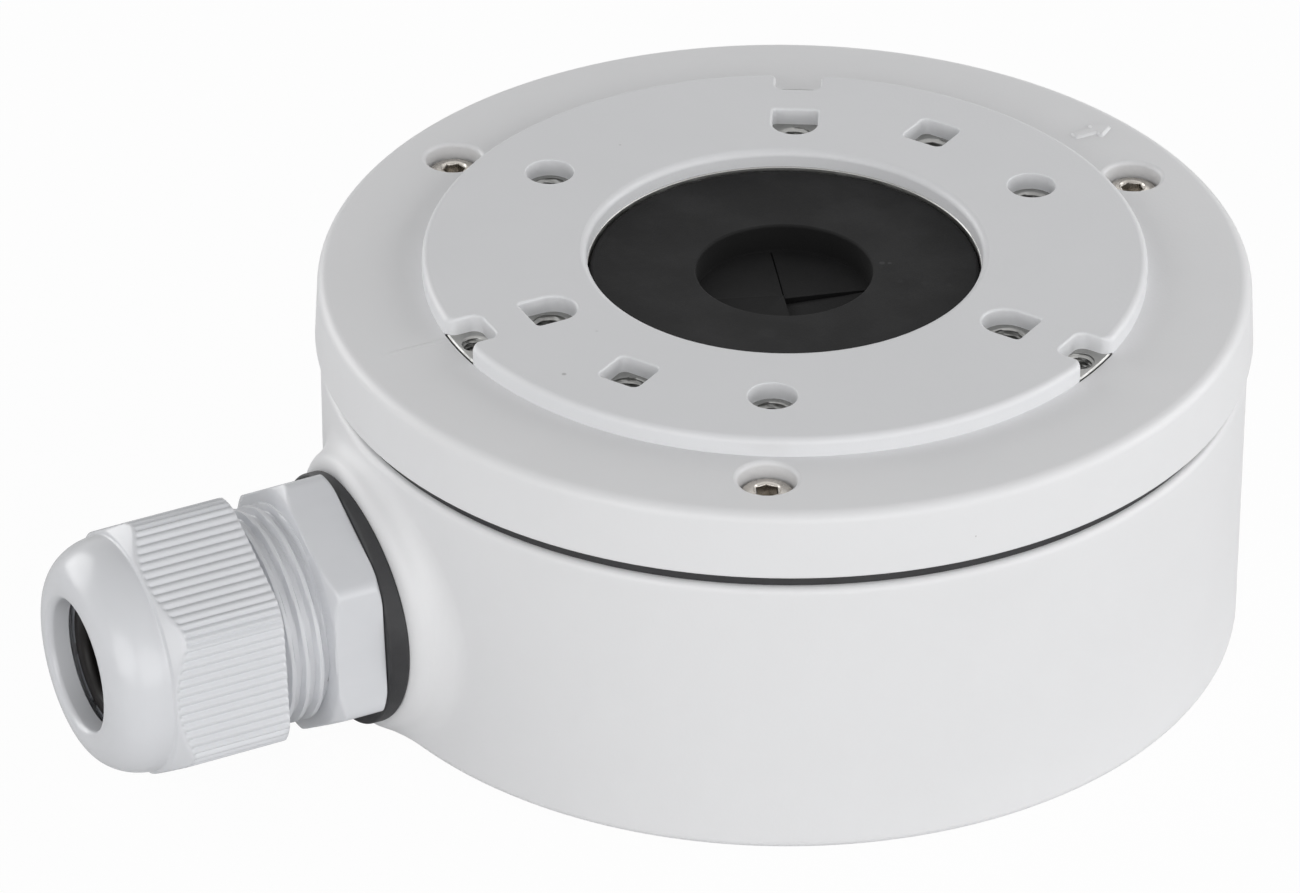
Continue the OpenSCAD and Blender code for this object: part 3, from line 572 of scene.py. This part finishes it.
def cover_casting():
    lip, rim_out, rim_in, rim_low = 0.35, INNER_R - 0.2, INNER_R - 1.4, COVER_Z - 2.4
    top_r = COVER_R - COVER_DRAFT - COVER_ROUND
    profile = (arc(COVER_R - lip, COVER_Z + lip, lip, 270, 360, 4) + arc(top_r, RIM_Z - COVER_ROUND, COVER_ROUND, 0, 90, 10)
        + arc(RECESS_R + RECESS_ROUND, RIM_Z - RECESS_ROUND, RECESS_ROUND, 90, 180, 8)
        + [(RECESS_R, PLATE_Z), (FLANGE_R + 0.2, PLATE_Z), (FLANGE_R + 0.2, PLATE_Z - FLANGE_T),
            (WEB_BORE_R + 0.2, PLATE_Z - FLANGE_T), (WEB_BORE_R, PLATE_Z - FLANGE_T - 0.2), (WEB_BORE_R, WEB_Z + 0.2),
            (WEB_BORE_R + 0.2, WEB_Z)]
        + arc(rim_in - 1.5, WEB_Z - 1.5, 1.5, 90, 0, 6)
        + [(rim_in, rim_low + 0.3), (rim_in + 0.3, rim_low), (rim_out - 0.3, rim_low), (rim_out, rim_low + 0.3),
            (rim_out, COVER_Z)])
    cover = made("cover_casting", turned(profile, 160))
    gaps = [placed(rod(POST_R + 0.4, rim_low - 1, COVER_Z), SCREW_AT, a) for a in SCREW_ANGLES]
    worked(cover, made("gaps", joined(*gaps)))
    pads = [placed(rod(POST_R, COVER_Z, RIM_Z - 2.0), SCREW_AT, a) for a in SCREW_ANGLES]
    worked(cover, made("pads", joined(*pads)), "UNION")
    sinks = [placed(flared(round_outline(SINK_R, 64), SEAT_Z, RIM_Z, SINK_ROUND), SCREW_AT, a) for a in SCREW_ANGLES]
    worked(cover, made("sinks", joined(*sinks)))
    holes = [placed(rod(CLEAR_R, COVER_Z - 1, RIM_Z, 32), SCREW_AT, a) for a in SCREW_ANGLES]
    low, high = WEB_Z - 1, PLATE_Z + 0.5
    holes += [placed(rod(2.45, low, high, 32), WINDOW_AT, a) for a in SCREW_ANGLES + SQUARE_ANGLES]
    holes += [placed(rod(2.45, low, high, 32), ARCH_AT, a) for a in ARCH_ANGLES]
    holes += [placed(rod(1.95, low, high, 32), NOTCH_THREAD_AT, a) for a in ARCH_ANGLES]
    holes += [placed(rod(2.3, low, high, 32), PEG_AT, a) for a in PEG_ANGLES]
    worked(cover, made("holes", joined(*holes)))
    return dressed(shaded(cover), "cover", "white_paint", white_paint, "cover_ring")


def up_arrow():
    """Small raised arrow cast beside the upper cover screw, pointing away from the gland."""
    outline = softened([(-2.1, -0.45), (0.5, -0.45), (0.5, -1.35), (2.3, 0), (0.5, 1.35), (0.5, 0.45), (-2.1, 0.45)],
        [0.2, 0.1, 0.15, 0.2, 0.15, 0.1, 0.2], 3)
    levels = [(RIM_Z - 0.3, 0.28), (RIM_Z - 0.02, 0.26), (RIM_Z + 0.1, 0.1), (RIM_Z + 0.22, 0.02), (RIM_Z + 0.28, -0.1)]
    shell = lofted([[(x, y, z) for x, y in grown(outline, out)] for z, out in levels])
    arrow = made("raised_arrow", placed(shell, 44.6, 103.5, 0, -13.5))
    return dressed(shaded(arrow, 60), "cover", "white_paint", white_paint)


def disc_outline():
    """Round rim with three rounded notches, and how far each point's upper edge is rounded."""
    corners, radii, edges = [], [], []
    half = 2.5
    mouth = degrees(atan2(half, DISC_R))
    for centre in (30, 150, 270):
        across = Vector((cos(radians(centre + 90)), sin(radians(centre + 90))))
        out = Vector((cos(radians(centre)), sin(radians(centre))))
        rim = sqrt(DISC_R ** 2 - half ** 2)
        for side, depth, radius in ((-1, rim, 1.1), (-1, NOTCH_AT, 1.1), (1, NOTCH_AT, 1.1), (1, rim, 1.1)):
            corners.append(tuple(out * depth + across * half * side))
            radii.append(radius)
        span = 120 - 2 * mouth - 6
        for i in range(61):
            a = radians(centre + mouth + 3 + span * i / 60)
            corners.append((DISC_R * cos(a), DISC_R * sin(a)))
            radii.append(0)
    outline = softened(corners, radii, 8)
    for x, y in outline:
        depth = DISC_R - hypot(x, y)
        share = min(1.0, max(0.0, depth / 1.0))
        edges.append(DISC_ROUND + (WINDOW_ROUND - DISC_ROUND) * share)
    return outline, edges


def face_plate():
    outline, edges = disc_outline()
    # A thin skirt at the rim closes the joint between the plate's edge and the cover
    inner = grown(outline, -0.15)
    low = [RIM_Z - 0.1 if hypot(x, y) > DISC_R - 0.05 else PLATE_TOP for x, y in outline]
    loops = [[(x, y, PLATE_TOP) for x, y in inner], [(x, y, z) for (x, y), z in zip(inner, low)],
        [(x, y, z) for (x, y), z in zip(outline, low)]]
    for k in range(9):
        t = radians(90 * k / 8)
        ring = grown(outline, [-e * (1 - cos(t)) for e in edges])
        loops.append([(x, y, DISC_TOP - e + e * sin(t)) for (x, y), e in zip(ring, edges)])
    disc = made("face_plate", lofted(loops))
    low = PLATE_TOP - 1
    cuts = [flared(round_outline(DISC_BORE_R, 160), low, DISC_TOP, DISC_ROUND, 8)]
    cuts += [placed(flared(round_outline(2.6), low, DISC_TOP, 0.12), WINDOW_AT, a) for a in SCREW_ANGLES]
    cuts += [placed(flared(square_outline(4.84, 0.8), low, DISC_TOP, 0.2), WINDOW_AT, a) for a in SQUARE_ANGLES]
    cuts += [placed(flared(arch_outline(5.0, 5.5), low, DISC_TOP, WINDOW_ROUND), ARCH_AT, a) for a in ARCH_ANGLES]
    worked(disc, made("cuts", joined(*cuts)))
    pegs = [placed(turned([(1.15, WEB_Z + 0.2), (2.1, WEB_Z + 0.2), (2.1, PLATE_TOP + 0.3), (1.15, PLATE_TOP + 0.3)], 40),
        PEG_AT, a) for a in PEG_ANGLES]
    worked(disc, made("pegs", joined(*pegs)), "UNION")
    return dressed(shaded(disc), "cover", "disc_paint", disc_paint, "face_disc")


def threaded_plate():
    soft = 0.15
    profile = [(PLATE_BORE_R, PLATE_Z + soft), (PLATE_BORE_R + soft, PLATE_Z), (PLATE_R - soft, PLATE_Z),
        (PLATE_R, PLATE_Z + soft), (PLATE_R, PLATE_TOP - soft), (PLATE_R - soft, PLATE_TOP),
        (PLATE_BORE_R + soft, PLATE_TOP), (PLATE_BORE_R, PLATE_TOP - soft)]
    plate = made("threaded_plate", turned(profile, 160))
    low, high = PLATE_Z - 1, PLATE_TOP + 1
    big, small = 2.12, 1.72
    wide = [(WINDOW_AT, a) for a in SCREW_ANGLES + SQUARE_ANGLES] + [(ARCH_AT, a) for a in ARCH_ANGLES]
    narrow = [(NOTCH_THREAD_AT, a) for a in ARCH_ANGLES]
    holes = [placed(rod(big, low, high, 40), r, a) for r, a in wide]
    holes += [placed(rod(small, low, high, 40), r, a) for r, a in narrow]
    holes += [placed(rod(2.3, low, high, 32), PEG_AT, a) for a in PEG_ANGLES]
    worked(plate, made("holes", joined(*holes)))
    dressed(shaded(plate), "cover", "plate_steel", plate_steel, "mounting_plate")
    threads = [placed(thread_insert(1.65, 0.4, big, 0.7, PLATE_Z, PLATE_TOP), r, a) for r, a in wide]
    threads += [placed(thread_insert(1.3, 0.3, small, 0.5, PLATE_Z, PLATE_TOP), r, a) for r, a in narrow]
    tapped = made("plate_threads", joined(*threads))
    return dressed(shaded(tapped, 50), "cover", "plate_steel", plate_steel)


# Rubber

def membrane_flap(start, sag, lift, gap=0.09):
    """Quarter of the slit membrane, hanging a little towards the middle."""
    steps_a, steps_r, outer = 20, 14, POCKET_R + 0.35
    top = RUBBER_TOP - POCKET_D

    def point(i, k, z0):
        share = k / steps_r
        x_, y_ = cos(radians(90 * i / steps_a)), sin(radians(90 * i / steps_a))
        r = gap * 1.5 + (outer - gap * 1.5) * share
        x, y = max(gap, r * x_), max(gap, r * y_)
        a = radians(start)
        near = max(0.0, 1 - hypot(x, y) / POCKET_R)
        edge = max(0.0, 1 - min(x, y) / 3.2) ** 2
        z = z0 - sag * near ** 1.4 + lift * edge * min(1.0, 3 * (1 - share))
        return x * cos(a) - y * sin(a), x * sin(a) + y * cos(a), z

    count = steps_r + 1
    points = [point(i, k, z) for z in (top, top - MEMBRANE_T) for i in range(steps_a + 1) for k in range(count)]
    layer = (steps_a + 1) * count
    faces = []
    for i in range(steps_a):
        for k in range(steps_r):
            a, b = i * count + k, (i + 1) * count + k
            faces += [(a, a + 1, b + 1, b), (layer + a, layer + b, layer + b + 1, layer + a + 1)]
    rim = ([i * count for i in range(steps_a)] + [steps_a * count + k for k in range(steps_r)]
        + [i * count + steps_r for i in range(steps_a, 0, -1)] + [k for k in range(steps_r, 0, -1)])
    faces += [(a, b, layer + b, layer + a) for a, b in zip(rim, rim[1:] + rim[:1])]
    return points, faces


def rubber_grommet():
    low = RUBBER_TOP - POCKET_D - MEMBRANE_T
    under = RUBBER_TOP - 1.7
    profile = (arc(POCKET_R + 0.3, RUBBER_TOP - 0.3, 0.3, 180, 90, 4) + [(POCKET_R + 2, RUBBER_TOP + 0.03)]
        + [(r, RUBBER_TOP + 0.03 + (NECK_TOP - RUBBER_TOP - 0.03) * ((r - 11.4) / 8.9) ** 1.5) for r in (13.0, 15.0, 17.0, 19.0)]
        + arc(NECK_R - 0.45, NECK_TOP - 0.45, 0.45, 90, 0, 5)
        + [(NECK_R, PLATE_Z), (FLANGE_R - 0.3, PLATE_Z), (FLANGE_R, PLATE_Z - 0.3),
            (FLANGE_R, PLATE_Z - FLANGE_T + 0.3), (FLANGE_R - 0.3, PLATE_Z - FLANGE_T), (SKIRT_R, PLATE_Z - FLANGE_T)]
        + arc(SKIRT_R - 0.4, WEB_Z - 0.6, 0.4, 360, 270, 4) + arc(SKIRT_R - SKIRT_T + 0.4, WEB_Z - 0.6, 0.4, 270, 180, 4)
        + arc(SKIRT_R - SKIRT_T - 1.0, under - 1.0, 1.0, 0, 90, 5) + arc(POCKET_R + 2.5, under - 0.8, 0.8, 90, 180, 4)
        + [(POCKET_R + 1.7, low + 0.3), (POCKET_R + 1.4, low), (POCKET_R, low)])
    shells = [turned(profile, 144)]
    for i, (sag, lift) in enumerate(((0.35, 0.0), (0.2, 0.12), (0.1, 0.3), (0.75, -0.25))):
        shells.append(membrane_flap(SLIT_TURN + 90 * i, sag, lift))
    grommet = made("rubber_grommet", joined(*shells))
    return dressed(shaded(grommet, 50), "cover", "black_rubber", grommet_rubber, "cable_grommet")


def cover_gasket_rubber():
    """The gasket keeps its own solid; only its finish is new."""
    finishes = (("cover_gasket", gasket_rubber), ("screw_retainer_1", grommet_rubber),
        ("screw_retainer_2", grommet_rubber), ("screw_retainer_3", grommet_rubber),
        ("disc_screw_1", screw_steel), ("disc_screw_2", screw_steel), ("disc_screw_3", screw_steel),
        ("earth_screw", screw_steel), ("earth_washer", washer_brass), ("clamping_cage", cage_nylon))
    for name, finish in finishes:
        mesh = nodes[name].data
        mesh.materials.clear()
        mesh.materials.append(finish)


# Screws

def cover_screw(number):
    head = [(0, 0), (HEAD_R - 0.1, 0), (HEAD_R, 0.1)]
    head += [(r, HEAD_H - drop) for r, drop in ((2.85, 0.8), (2.82, 0.62), (2.7, 0.44), (2.45, 0.26), (2.1, 0.12),
        (1.7, 0.04), (1.45, 0.0), (1.28, 0.15), (0, 0.15))]
    screw = made("screw_head_%d" % number, turned(head, 72))
    socket = lofted([[(r * cos(tau * i / 6), r * sin(tau * i / 6), z) for i in range(6)]
        for r, z in ((0.2, 0.8), (1.16, 1.0), (1.16, HEAD_H - 0.32), (1.3, HEAD_H - 0.15), (1.3, HEAD_H + 1))])
    worked(screw, made("socket", socket))
    tip = [(1.1 * cos(tau * i / 32), 1.1 * sin(tau * i / 32), -SHANK_L) for i in range(32)]
    shank = made("shank", lofted([tip] + threaded_rod(SHANK_R, 0.26, 0.5, -SHANK_L + 0.35, 0.3, 32, 6, 0.5)))
    worked(screw, shank, "UNION")
    angle = SCREW_ANGLES[number - 1]
    move = Matrix.Rotation(radians(angle), 4, "Z") @ Matrix.Translation((SCREW_AT * 0.001, 0, SEAT_Z * 0.001))
    screw.data.transform(move @ Matrix.Rotation(radians((17, 41, 5)[number - 1]), 4, "Z"))
    return dressed(shaded(screw, 40), "screw_%d" % number, "screw_steel", screw_steel, "cover_screw_%d" % number)


# Cable gland

def soft_hexagon(turn, apothem, corner):
    """Distance from the axis to a hexagon with round corners, at a turn in radians."""
    off = 30 - abs(30 - ((degrees(turn) - HEX_TURN) % 60))
    b = radians(off)
    reach = (apothem - corner) / cos(radians(30))
    flat = apothem / cos(radians(30) - b)
    if corner > 0 and sin(b) * flat < corner * 0.5:
        return reach * cos(b) + sqrt(max(0.0, corner ** 2 - (reach * sin(b)) ** 2))
    return flat


def blend_low(a, b, soft):
    """Lower of two values, with a soft change from one to the other."""
    share = max(0.0, 1 - abs(a - b) / soft)
    return min(a, b) - share * share * soft / 4


def gland_collar():
    """Body of the gland: entry thread, hexagon with turned corners, nut thread and bore."""
    turns = [radians(HEX_TURN + 60 * side + off) for side in range(6)
        for off in (0, 0.7, 1.4, 2.1, 2.8, 3.6, 5, 7, 10, 14, 18, 22, 26, 30, 34, 38, 42, 46, 50, 53, 55, 56.4, 57.2,
            57.9, 58.6, 59.3)]
    steps = 96
    loops = []

    def hex_loop(s):
        front = HEX_FRONT_R + (HEX_END - s) * 1.75
        back = HEX_BACK_R + (s - HEX_S) * 1.75
        ring = []
        for a in turns:
            r = blend_low(soft_hexagon(a, HEX_AF / 2, HEX_CORNER), front, 0.35)
            r = blend_low(r, back, 0.35)
            ring.append((r * cos(a), r * sin(a), s))
        return ring

    edge = 0.22
    loops.append([((HEX_AF / 2 - 1.5) * cos(a), (HEX_AF / 2 - 1.5) * sin(a), HEX_S) for a in turns])
    for k in range(41):
        s = HEX_S + (HEX_END - HEX_S) * k / 40
        rounded = min(1.0, (s - HEX_S) / edge, (HEX_END - s) / edge)
        inset = edge * (1 - sqrt(max(0.0, 1 - (1 - rounded) ** 2)))
        loops.append([(x * (1 - inset / hypot(x, y)), y * (1 - inset / hypot(x, y)), s_) for x, y, s_ in hex_loop(s)])
    loops.append([(10.5 * cos(a), 10.5 * sin(a), HEX_END) for a in turns])
    collar = made("gland_collar", along_gland(lofted(loops)))
    stem = [[(r * cos(tau * i / steps), r * sin(tau * i / steps), s) for i in range(steps)]
        for r, s in ((ENTRY_R - 0.8, ENTRY_S), (ENTRY_R, ENTRY_S + 0.8), (ENTRY_R, BOSS_FACE + 1), (ENTRY_R - 0.6, HEX_S + 0.5))]
    worked(collar, made("stem", along_gland(lofted(stem))), "UNION")
    threads = threaded_rod(THREAD_R, THREAD_H, THREAD_PITCH, HEX_END - 1.2, THREAD_END, 96, 14, 0.9)
    worked(collar, made("threads", along_gland(lofted(threads))), "UNION")
    bore = turned([(0, ENTRY_S - 2), (PASS_R + 0.8, ENTRY_S - 2), (PASS_R + 0.8, ENTRY_S), (PASS_R, ENTRY_S + 0.8),
        (PASS_R, CAGE_SEAT - 1.2), (CAGE_R + PLAY, CAGE_SEAT), (CAGE_R + PLAY, THREAD_END - 0.5),
        (CAGE_R + 0.5, THREAD_END), (CAGE_R + 0.5, THREAD_END + 2), (0, THREAD_END + 2)], 96)
    worked(collar, made("bore", along_gland(bore)))
    return dressed(shaded(collar), "base", "gland_nylon", gland_nylon, "gland_body")


def gland_washer():
    """Soft washer pressed between the hexagon and the boss's curved face, hanging a little low."""
    inner, soft, steps = ENTRY_R + 0.4, 0.35, 128
    loops = []
    for i in range(steps):
        a = tau * i / steps
        back, front = boss_face(WASHER_R * cos(a)) - 0.05, HEX_S
        profile = ([(inner, boss_face(inner * cos(a)) - 0.05), (WASHER_R - soft, back)]
            + arc(WASHER_R - soft, back + soft, soft, 300, 360, 4) + arc(WASHER_R - soft, front - soft, soft, 0, 90, 5)
            + [(inner, front)])
        loops.append([(0.1 + r * cos(a), r * sin(a) - WASHER_DROP, s) for r, s in profile])
    washer = made("flat_washer", along_gland(lofted(loops, ring=True)))
    return dressed(shaded(washer, 50), "base", "gasket_rubber", gasket_rubber, "gland_washer")


def ribbed_outline():
    """Points round the nut with their outward directions and the depth of the rib valley there."""
    apothem, corner, per_rib = NUT_AF / 2, NUT_CORNER, 6
    half = (apothem - corner) * tan(radians(30))
    lengths = (2 * half, corner * radians(60))
    count = (11, 4)
    out = []
    for side in range(6):
        base = radians(60 * side + 30 + HEX_TURN)
        for i in range(count[0] * per_rib):
            u = -half + 2 * half * i / (count[0] * per_rib)
            phase = i / per_rib % 1
            out.append((apothem * cos(base) - u * sin(base), apothem * sin(base) + u * cos(base), base, phase))
        c = base + radians(30)
        reach = (apothem - corner) / cos(radians(30))
        for i in range(count[1] * per_rib):
            a = base + radians(60) * i / (count[1] * per_rib)
            phase = i / per_rib % 1
            out.append((reach * cos(c) + corner * cos(a), reach * sin(c) + corner * sin(a), a, phase))
    return out


def gland_nut_cap():
    """Ribbed nut that runs out in a smooth band and a dome round the cable mouth."""
    outline = ribbed_outline()
    apothem = NUT_AF / 2
    crest = apothem / cos(radians(30))
    stations = [NUT_S + 0.02, NUT_S + 0.15, NUT_S + 0.4, NUT_S + 0.7, NUT_S + 1.0, NUT_S + 1.6]
    stations += [NUT_S + 1.6 + (GRIP_END - 2.05 - NUT_S - 1.6) * k / 8 for k in range(1, 9)]
    stations += [GRIP_END - 2.05 + 2.05 * k / 17 for k in range(1, 18)]
    more = 34
    stations += [GRIP_END + 0.05, GRIP_END + 0.1, GRIP_END + 0.16, GRIP_END + 0.24]
    stations += [GRIP_END + 0.34 + (NUT_END - GRIP_END - 0.34) * sin(radians(90 * k / more)) for k in range(more)]
    loops = []
    for s in stations:
        cone = apothem + GRIP_END - s
        share = min(1.0, max(0.0, (s - GRIP_END) / (NUT_END - GRIP_END)))
        limit = DOME_MOUTH_R + (DOME_R - DOME_MOUTH_R) * sqrt(1 - share * share)
        limit += (apothem - DOME_R) * max(0.0, 1 - max(0.0, s - GRIP_END) / 0.3) ** 2 + max(0.0, GRIP_END - s)
        start = crest - 0.75 + (s - NUT_S) * 1.1
        begin = min(1.0, (s - NUT_S) / 0.4 + 0.35)
        ring = []
        for x, y, a, phase in outline:
            valley = RIB_H * begin * min(1.0, max(0.0, (cone - hypot(x, y) - 0.02) / 0.45))
            dip = valley * (0.5 + 0.5 * cos(tau * phase)) ** 1.3
            x, y = x - cos(a) * dip, y - sin(a) * dip
            r = hypot(x, y)
            want = blend_low(blend_low(r, limit, 0.35), start, 0.3)
            ring.append((x * want / r, y * want / r, s))
        loops.append(ring)
    for k in range(1, 9):
        t = radians(90 + 90 * k / 8)
        r, s = MOUTH_R + LIP_R + LIP_R * cos(t), NUT_END - LIP_R + LIP_R * sin(t)
        loops.append([(r * x / hypot(x, y), r * y / hypot(x, y), s) for x, y, a, phase in outline])
    inner = [(MOUTH_R, TIP_S + LIP_R), (MOUTH_R + 0.5, TIP_S + 0.45), (MOUTH_R + 1.9, TIP_S + 0.2),
        (CAGE_R + 1, NUT_S + 10.6), (THREAD_R + PLAY, NUT_S + 9.6), (THREAD_R + PLAY, NUT_S + 0.4),
        (THREAD_R + 0.35, NUT_S + 0.02)]
    loops += [[(r * x / hypot(x, y), r * y / hypot(x, y), s) for x, y, a, phase in outline] for r, s in inner]
    nut = made("ribbed_nut", along_gland(lofted(loops, ring=True)))
    return dressed(shaded(nut, 50), "nut", "gland_nylon", gland_nylon, "gland_nut")


def seal_sleeve():
    """Rubber seal with shallow grooves down its bore."""
    out = SEAL_R + SEAL_T
    bore = [(SEAL_R + 0.22 * (0.5 - 0.5 * cos(tau * k / 8)), TIP_S - 0.4 - 14.9 * k / 64) for k in range(65)]
    profile = ([(SEAL_R + 0.15, TIP_S), (SEAL_R + 0.5, TIP_S + 0.3), (out - 0.7, TIP_S + 0.3), (out, TIP_S - 0.3),
        (out, CAGE_S), (SEAL_R + 0.3, CAGE_S)] + bore[::-1])
    seal = made("seal_sleeve", along_gland(turned(profile, 96)))
    return dressed(shaded(seal, 50), "clamp", "seal_rubber", seal_rubber, "cable_seal")


housing_casting()
cover_casting()
up_arrow()
face_plate()
threaded_plate()
rubber_grommet()
cover_gasket_rubber()
for number in (1, 2, 3):
    cover_screw(number)
gland_collar()
gland_washer()
gland_nut_cap()
seal_sleeve()


# Studio

def floor_sheet():
    """Pale sheet that keeps a faint shadow and fades to white."""
    mesh = bpy.data.meshes.new("floor_sheet")
    size, low = 3.0, -0.00005
    mesh.from_pydata([(-size, -size, low), (size, -size, low), (size, size, low), (-size, size, low)], [], [(0, 1, 2, 3)])
    floor = bpy.data.objects.new("floor_sheet", mesh)
    bpy.context.scene.collection.objects.link(floor)
    f = Finish("floor_white")
    seen = f.node("LightPath", out="Is Camera Ray")
    paper = f.node("BsdfDiffuse", {}, {"Color": (0.82, 0.82, 0.82, 1)})
    glow = f.node("Emission", {}, {"Color": (1, 1, 1, 1), "Strength": 1.0})
    sheet = f.node("MixShader", {}, {0: seen * 0.965, 1: paper, 2: glow})
    mesh.materials.append(f.shown(sheet))


def studio_light():
    world = bpy.data.worlds.new("light_tent")
    bpy.context.scene.world = world
    world.use_nodes = True
    tree = world.node_tree
    tree.nodes.clear()
    path = tree.nodes.new("ShaderNodeLightPath")
    seen = tree.nodes.new("ShaderNodeMath")
    seen.operation = "MAXIMUM"
    tree.links.new(path.outputs["Is Camera Ray"], seen.inputs[0])
    tree.links.new(path.outputs["Is Transmission Ray"], seen.inputs[1])
    shown = tree.nodes.new("ShaderNodeMath")
    shown.operation = "MAXIMUM"
    tree.links.new(seen.outputs[0], shown.inputs[0])
    tree.links.new(path.outputs["Is Glossy Ray"], shown.inputs[1])
    soft, white = tree.nodes.new("ShaderNodeBackground"), tree.nodes.new("ShaderNodeBackground")
    soft.inputs[0].default_value, soft.inputs[1].default_value = (1, 1, 1, 1), 0.3
    white.inputs[0].default_value, white.inputs[1].default_value = (1, 1, 1, 1), 1.0
    mix = tree.nodes.new("ShaderNodeMixShader")
    tree.links.new(shown.outputs[0], mix.inputs[0])
    tree.links.new(soft.outputs[0], mix.inputs[1])
    tree.links.new(white.outputs[0], mix.inputs[2])
    tree.links.new(mix.outputs[0], tree.nodes.new("ShaderNodeOutputWorld").inputs["Surface"])


def softbox(name, turn, power, far=1.1, rise=16, size=0.8):
    """Low round softbox at a turn round the box, aimed at its middle."""
    a, e = radians(turn), radians(rise)
    place = Vector((far * cos(a) * cos(e), far * sin(a) * cos(e), far * sin(e)))
    data = bpy.data.lights.new(name, "AREA")
    data.shape, data.size, data.energy = "DISK", size, power
    light = bpy.data.objects.new(name, data)
    light.location = place
    light.rotation_mode = "QUATERNION"
    light.rotation_quaternion = (Vector((0, 0, 0.02)) - place).to_track_quat("-Z", "Y")
    bpy.context.scene.collection.objects.link(light)


def photo_camera():
    """Long lens at the photograph's viewing angle."""
    turn, rise, unit = radians(63.2), 0.5549, 0.04967
    right = Vector((cos(turn), sin(turn), 0))
    back = Vector((sin(turn) * cos(rise), -cos(turn) * cos(rise), sin(rise)))
    up = back.cross(right)
    data = bpy.data.cameras.new("photo_camera")
    data.sensor_width, data.lens = 36.0, 7563 / 1300 * 36
    data.clip_start, data.clip_end = 0.02, 20
    camera = bpy.data.objects.new("photo_camera", data)
    place = (right * -0.2875 + up * -0.3786 + back * 16.181) * unit + Vector((0, 0, 0.0406))
    camera.matrix_world = Matrix((right, up, back)).transposed().to_4x4()
    camera.location = place
    bpy.context.scene.collection.objects.link(camera)
    bpy.context.scene.camera = camera


floor_sheet()
studio_light()
for name, turn, power in (("left_softbox", -150, 4.1), ("front_softbox", -60, 3.6), ("middle_softbox", -15, 2.8),
        ("right_softbox", 30, 2.4), ("far_softbox", 75, 4.6), ("back_softbox", 130, 0.8)):
    softbox(name, turn, power)
photo_camera()
bpy.context.scene.view_settings.view_transform = "Standard"
